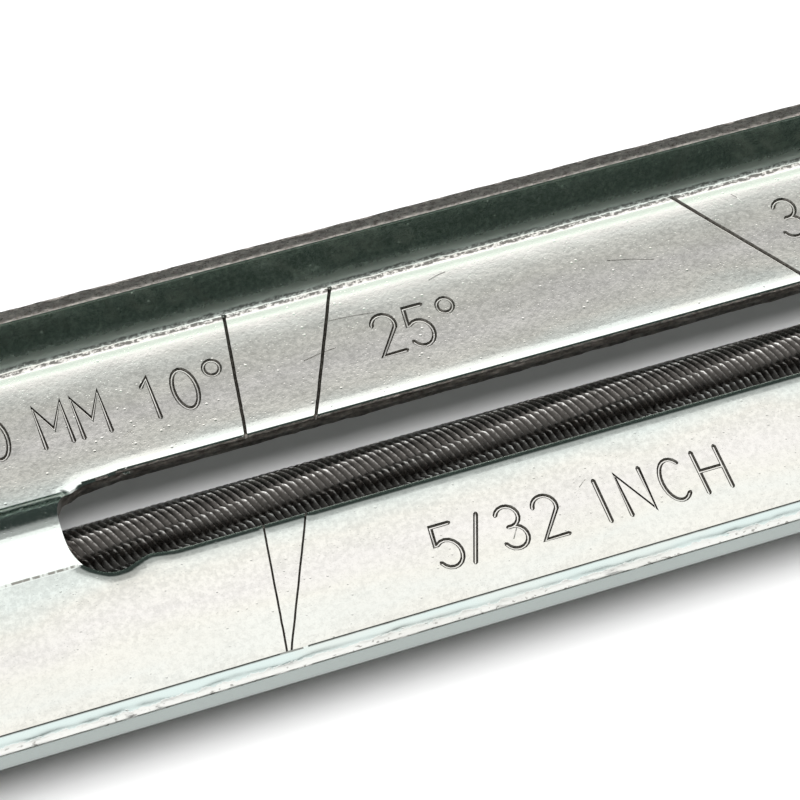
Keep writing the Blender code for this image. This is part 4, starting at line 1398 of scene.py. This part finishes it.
def build_clamp(side, x):
    half = CLAMP_WIDTH / 2
    clamp = from_bmesh("clamp_%s_folded" % side, prism(web_outline(), x - half, x + half, "X"))
    parts = []
    for way in (-1.0, 1.0):
        a, b = sorted((x + way * half, x + way * (half - CLAMP_T)))
        parts.append(from_bmesh("skirt", prism(skirt_outline(), a, b, "X")))
    parts.append(from_bmesh("hook", prism(hook_outline(), x - HOOK_WIDTH / 2, x + HOOK_WIDTH / 2, "X")))
    combine(clamp, parts, "UNION")
    outline = arc(x, BOLT_Y, 2.9, 2.9, 0, 180, 16) + arc(x, BOLT_Y - 0.6, 2.9, 2.9, 180, 360, 16)
    combine(clamp, [from_bmesh("long_hole", prism(outline, WEB_TOP - CLAMP_T - 1.2, WEB_TOP + 1.2, "Z"))])
    return bevel(clamp, 0.16, 2, 40.0)


def thread(r_crest, pitch, depth, bottom, top, segments, taper=0.7, phase=0.0):
    """A closed screw: the radius follows a helix, and runs out at the top."""
    step = pitch / 8
    count = int((top - bottom) / step)
    bm = bmesh.new()
    rings = []
    for i in range(count + 1):
        z = bottom + (top - bottom) * i / count
        ring = []
        for j in range(segments):
            a = 2 * math.pi * j / segments
            u = (z / pitch - a / (2 * math.pi) + phase) % 1.0
            v = abs(2 * u - 1)                              # 1 at the crest, 0 at the root
            cutin = depth * (1.0 - min(1.0, max(0.0, (v - 0.10) / 0.78)))
            r = r_crest - cutin
            r = min(r, r_crest - depth * 1.1 + max(0.0, (top - z)) * 1.0) if taper else r
            ring.append(bm.verts.new((r * math.cos(a), r * math.sin(a), z)))
        rings.append(ring)
    for a, b in zip(rings, rings[1:]):
        for j in range(segments):
            k = (j + 1) % segments
            bm.faces.new((a[j], a[k], b[k], b[j]))
    bm.faces.new(list(reversed(rings[0])))
    bm.faces.new(rings[-1])
    return bm


def build_bolt(side):
    """A hexagon bolt: chamfered head, plain neck and rolled thread. Origin on its axis."""
    corner = HEAD_AF / 2 / math.cos(math.pi / 6)
    hexagon = [
        (corner * math.cos(math.pi / 2 + math.pi / 3 * k), corner * math.sin(math.pi / 2 + math.pi / 3 * k))
        for k in range(6)
    ]
    low, high = HEAD_TOP - HEAD_H, HEAD_TOP
    bolt = from_bmesh("clamp_bolt_%s_threaded" % side, prism(rounded(hexagon, 0.25, 3), low, high, "Z"))
    cone = from_bmesh(
        "chamfer",
        revolve(
            [(0.0, low + 0.35), (2.7, low + 0.35), (2.9, low + 0.10), (3.25, low), (3.85, low), (corner + 0.15, low + 0.55),
             (corner + 0.15, high - 0.22), (4.0, high + 0.02), (4.0, high + 0.1), (0.0, high + 0.1)],
            64, closed=False,
        ),
    )
    combine(bolt, [cone], "INTERSECT")
    neck = from_bmesh(
        "neck",
        revolve([(0.0, high - 0.8), (BOLT_D / 2 + 0.12, high - 0.8), (BOLT_D / 2 + 0.12, high), (BOLT_D / 2 - 0.02, high + 0.18),
                 (BOLT_D / 2 - 0.05, high + 0.9), (BOLT_D / 2 - 0.42, high + 1.3), (0.0, high + 1.3)], 48, closed=False),
    )
    screw = from_bmesh("screw", thread(BOLT_D / 2, 0.8, 0.44, high + 0.75, BOLT_TOP, 56))
    combine(bolt, [neck, screw], "UNION")
    return bolt


def washer_mesh():
    r0, r1, z0, z1 = BOLT_D / 2 + 0.3, WASHER_OD / 2, SEAT_1, SEAT_1 + WASHER_T
    return revolve(
        [(r0 + 0.04, z0), (r1 - 0.16, z0), (r1 - 0.05, z0 + 0.05), (r1, z0 + 0.16), (r1, z1 - 0.22), (r1 - 0.03, z1 - 0.10),
         (r1 - 0.12, z1 - 0.02), (r1 - 0.26, z1), (r0 + 0.26, z1), (r0 + 0.12, z1 - 0.02), (r0 + 0.03, z1 - 0.09),
         (r0, z1 - 0.2), (r0, z0 + 0.05)],
        96,
        ripple=lambda i, a, h: -0.012 * (0.5 + 0.5 * math.sin(5 * a + 1.0)) if i in (3, 4) else 0.0,
    )


def spring_washer_mesh():
    """A split ring whose ends stand a little apart, one above the other, cut on the slant."""
    inner, outer = BOLT_D / 2 + 0.3, SPRING_OD / 2
    lift, thick = 0.22, SPRING_T - 0.24
    corner = rounded([(inner, 0.0), (outer, 0.0), (outer, thick), (inner, thick)], 0.16, 3)
    bm = bmesh.new()
    steps = 90
    rings = []
    for i in range(steps + 1):
        k = i / steps
        ring = []
        for r, h in corner:
            slant = math.radians(5.5) * (h / thick - 0.5)
            a = math.radians(8.0) + math.radians(344.0) * k + slant
            ring.append(bm.verts.new((r * math.cos(a), r * math.sin(a), h + lift * k)))
        rings.append(ring)
    n = len(corner)
    for a, b in zip(rings, rings[1:]):
        for j in range(n):
            m = (j + 1) % n
            bm.faces.new((a[j], a[m], b[m], b[j]))
    bm.faces.new(list(reversed(rings[0])))
    bm.faces.new(rings[-1])
    return bm


def wing_outline():
    tip = NUT_SPAN / 2
    pts = [(-2.0, 1.75), (4.6, 1.9), (6.6, 2.75), (8.6, 4.7), (10.5, 6.75), (11.6, 8.1), (tip - 0.12, 9.35), (11.55, 10.3),
           (10.75, NUT_HEIGHT - 0.12), (9.8, 10.72), (8.7, 10.0), (7.3, 8.4), (5.7, 6.4), (4.5, 5.2), (-2.0, NUT_BOSS_H - 0.45)]
    return pts[:1] + spline(pts[1:-1], 4) + pts[-1:]


def build_wing_nut(side):
    """Cast in one piece, so every corner is soft; the bore and the seat are cut afterwards."""
    nut = from_bmesh(
        "wing_nut_%s_cast" % side,
        revolve([(0.0, 0.12), (NUT_BASE_D / 2 - 0.45, 0.12), (NUT_BASE_D / 2 - 0.10, 0.42), (NUT_BASE_D / 2 - 0.14, 1.1),
                 (NUT_TOP_D / 2 - 0.08, NUT_BOSS_H - 0.6), (NUT_TOP_D / 2 - 0.45, NUT_BOSS_H - 0.12), (0.0, NUT_BOSS_H - 0.12)],
                64, closed=False),
    )
    wings = []
    for way in (-1.0, 1.0):
        outline = [(way * x, z) for x, z in wing_outline()]
        bm = prism(outline, -0.86, 0.86, "Y")
        for v in bm.verts:                                  # thinner towards the tip, thicker at the root
            reach = min(1.0, max(0.0, (abs(v.co.x) - 3.2) / 8.5))
            v.co.y *= 1.12 - 0.30 * reach
        bmesh.ops.recalc_face_normals(bm, faces=bm.faces)
        wings.append(from_bmesh("wing", bm))
    combine(nut, wings, "UNION")
    mod = nut.modifiers.new("cast", "REMESH")
    mod.mode = "VOXEL"
    mod.voxel_size = 0.19
    mod = nut.modifiers.new("soften", "SMOOTH")
    mod.factor = 0.5
    mod.iterations = 5
    apply_modifiers(nut)
    rough = nut.data
    for v in rough.vertices:
        n = noise.noise(v.co * 0.9) * 0.030 + noise.noise(v.co * 2.3) * 0.014
        v.co += v.normal * (n - 0.02)
    seat = from_bmesh("seat", revolve([(0.0, -1.0), (8.0, -1.0), (8.0, 0.14), (0.0, 0.14)], 48, closed=False))
    bore = from_bmesh("bore", thread(NUT_BORE / 2, 0.8, 0.16, -1.0, NUT_BOSS_H + 1.0, 48, taper=0.0))
    mouths = from_bmesh(
        "mouths",
        revolve([(0.0, -1.0), (3.6, -1.0), (3.15, 0.05), (2.70, 0.62), (2.60, 1.0), (2.60, NUT_BOSS_H - 0.9), (2.75, NUT_BOSS_H - 0.62),
                 (3.2, NUT_BOSS_H - 0.10), (3.6, NUT_BOSS_H + 1.0), (0.0, NUT_BOSS_H + 1.0)], 56, closed=False),
    )
    combine(nut, [seat, bore, mouths])
    nut.data.transform(Matrix.Rotation(NUT_TURN[side], 4, "Z"))
    return nut


clamp_finish = zinc_finish("zinc_plated_clamp", (0.70, 0.69, 0.655), seed=31.0, gloss=0.22)
bolt_finish = zinc_finish("zinc_plated_bolt", (0.74, 0.735, 0.70), pits=0.3, seed=47.0, gloss=0.20)
cast_finish = zinc_finish("zinc_plated_casting", (0.73, 0.725, 0.69), pits=2.0, seed=59.0, gloss=0.26)
cast_finish.bump(cast_finish.noise(cast_finish.mapping(), 2.2, 3.0, 0.6), 0.03)
for side, sx in SIDES:
    x = sx * CLAMP_X
    place(build_clamp(side, x), [clamp_finish.mat], "clamp_" + side, "clamp_" + side, smooth=32)
    place(build_bolt(side), [bolt_finish.mat], "bolt_" + side, "clamp_bolt_" + side,
          origin=(x, BOLT_Y, 0.0), smooth=42)
    flat = from_bmesh("flat_washer_%s_stamped" % side, washer_mesh())
    place(flat, [bolt_finish.mat], "guide", "flat_washer_" + side, origin=(x, BOLT_Y, 0.0), smooth=40)
    split_ring = from_bmesh("spring_washer_%s_split" % side, spring_washer_mesh())
    place(split_ring, [bolt_finish.mat], "guide", "spring_washer_" + side,
          origin=(x, BOLT_Y, SEAT_2), smooth=40)
    place(build_wing_nut(side), [cast_finish.mat], "wing_nut_" + side, "wing_nut_" + side,
          origin=(x, BOLT_Y, SEAT_3), smooth=50)

# ---------------------------------------------------------------- floor and light
floor_mesh = bpy.data.meshes.new("floor")
floor_mesh.from_pydata([(-3, -3, 0), (3, -3, 0), (3, 3, 0), (-3, 3, 0)], [], [(0, 1, 2, 3)])
floor = bpy.data.objects.new("floor", floor_mesh)
bpy.context.scene.collection.objects.link(floor)
paper = Finish("white_paper")
paper.set(Base_Color=(0.86, 0.86, 0.86, 1.0), Roughness=0.9)
paper.shader.inputs["Specular IOR Level"].default_value = 0.1
# the sweep is lit for a white ground and shows duller in the metal than it looks: its colour in glossy rays is
# darkened, painted shade
ray = paper.node("ShaderNodeLightPath")
paper.to(paper.mix(ray.outputs["Is Glossy Ray"], (0.86, 0.86, 0.86), (0.34, 0.36, 0.355)), "Base Color")
floor_mesh.materials.append(paper.mat)

key_data = bpy.data.lights.new("key", "SUN")
key_data.energy = 4.5
key_data.angle = math.radians(20.5)
key = bpy.data.objects.new("key", key_data)
key.rotation_euler = Vector((0.0, -math.sin(math.radians(15.4)), math.cos(math.radians(15.4)))).to_track_quat("Z", "Y").to_euler()
key.visible_glossy = False
bpy.context.scene.collection.objects.link(key)

world = bpy.data.worlds.new("studio")
bpy.context.scene.world = world
world.use_nodes = True
wt = world.node_tree
wt.nodes.clear()


def wnode(kind, **values):
    n = wt.nodes.new(kind)
    for k, v in values.items():
        setattr(n, k, v)
    return n


def wmath(operation, a, b=None):
    n = wnode("ShaderNodeMath", operation=operation)
    for i, v in enumerate((a, b)):
        if v is None:
            continue
        if isinstance(v, (int, float)):
            n.inputs[i].default_value = v
        else:
            wt.links.new(v, n.inputs[i])
    return n.outputs["Value"]


def wramp(value, a, b, lo, hi):
    n = wnode("ShaderNodeMapRange", interpolation_type="SMOOTHSTEP")
    for k, v in (("From Min", a), ("From Max", b), ("To Min", lo), ("To Max", hi)):
        n.inputs[k].default_value = v
    wt.links.new(value, n.inputs["Value"])
    return n.outputs["Result"]


coord = wnode("ShaderNodeTexCoord")
split = wnode("ShaderNodeSeparateXYZ")
wt.links.new(coord.outputs["Generated"], split.inputs["Vector"])
# a softbox overhead, its edges along X; beyond its far edge a dimmer panel, and low down the dark room
lean = wmath("DIVIDE", split.outputs["Y"], wmath("MAXIMUM", split.outputs["Z"], 0.02))
box = wmath("MULTIPLY", wramp(lean, -0.98, -0.74, 0.0, 1.0), wramp(lean, 0.515, 0.585, 1.0, 0.0))
hot = wmath("MULTIPLY", wramp(lean, -0.75, -0.35, 0.0, 1.0), wramp(lean, 0.18, 0.44, 1.0, 0.0))
panel = wmath("MULTIPLY", wramp(lean, 0.50, 0.56, 0.0, 1.0), wramp(lean, 0.80, 1.15, 1.0, 0.0))
high = wramp(split.outputs["Z"], 0.30, 0.52, 0.0, 1.0)
level = wmath("ADD", wmath("MULTIPLY", box, 1.08), wmath("MULTIPLY", panel, 0.40))
level = wmath("ADD", level, wmath("MULTIPLY", hot, 0.35))
along = wmath("DIVIDE", wmath("ABSOLUTE", split.outputs["X"]), wmath("MAXIMUM", split.outputs["Z"], 0.02))
level = wmath("MULTIPLY", wmath("MULTIPLY", level, high), wramp(along, 0.85, 1.25, 1.0, 0.15))
side = wmath("MULTIPLY", wramp(wmath("ABSOLUTE", split.outputs["X"]), 0.58, 0.80, 0.0, 0.42), wramp(split.outputs["Z"], 0.12, 0.35, 0.0, 1.0))
level = wmath("ADD", level, side)
left = wmath("MULTIPLY", wramp(wmath("MULTIPLY", split.outputs["X"], -1.0), 0.16, 0.40, 0.0, 0.80), wramp(split.outputs["Z"], 0.06, 0.28, 0.0, 1.0))
level = wmath("MAXIMUM", level, left)
dark = wramp(split.outputs["Z"], 0.0, 0.9, 0.060, 0.040)
path = wnode("ShaderNodeLightPath")
glossy = wnode("ShaderNodeBackground")
wt.links.new(level, glossy.inputs["Strength"])
glossy.inputs["Color"].default_value = (1.0, 1.0, 0.985, 1.0)
room = wnode("ShaderNodeBackground")
wt.links.new(dark, room.inputs["Strength"])
room.inputs["Color"].default_value = (0.76, 1.0, 0.90, 1.0)
both = wnode("ShaderNodeAddShader")
wt.links.new(glossy.outputs[0], both.inputs[0])
wt.links.new(room.outputs[0], both.inputs[1])
plainbg = wnode("ShaderNodeBackground")
plainbg.inputs["Color"].default_value = (1.0, 1.0, 1.0, 1.0)
plainbg.inputs["Strength"].default_value = 0.12
seen = wnode("ShaderNodeBackground")
seen.inputs["Strength"].default_value = 1.0
mix1 = wnode("ShaderNodeMixShader")
wt.links.new(path.outputs["Is Glossy Ray"], mix1.inputs["Fac"])
wt.links.new(plainbg.outputs[0], mix1.inputs[1])
wt.links.new(both.outputs[0], mix1.inputs[2])
mix2 = wnode("ShaderNodeMixShader")
wt.links.new(path.outputs["Is Camera Ray"], mix2.inputs["Fac"])
wt.links.new(mix1.outputs[0], mix2.inputs[1])
wt.links.new(seen.outputs[0], mix2.inputs[2])
output = wnode("ShaderNodeOutputWorld")
wt.links.new(mix2.outputs[0], output.inputs["Surface"])
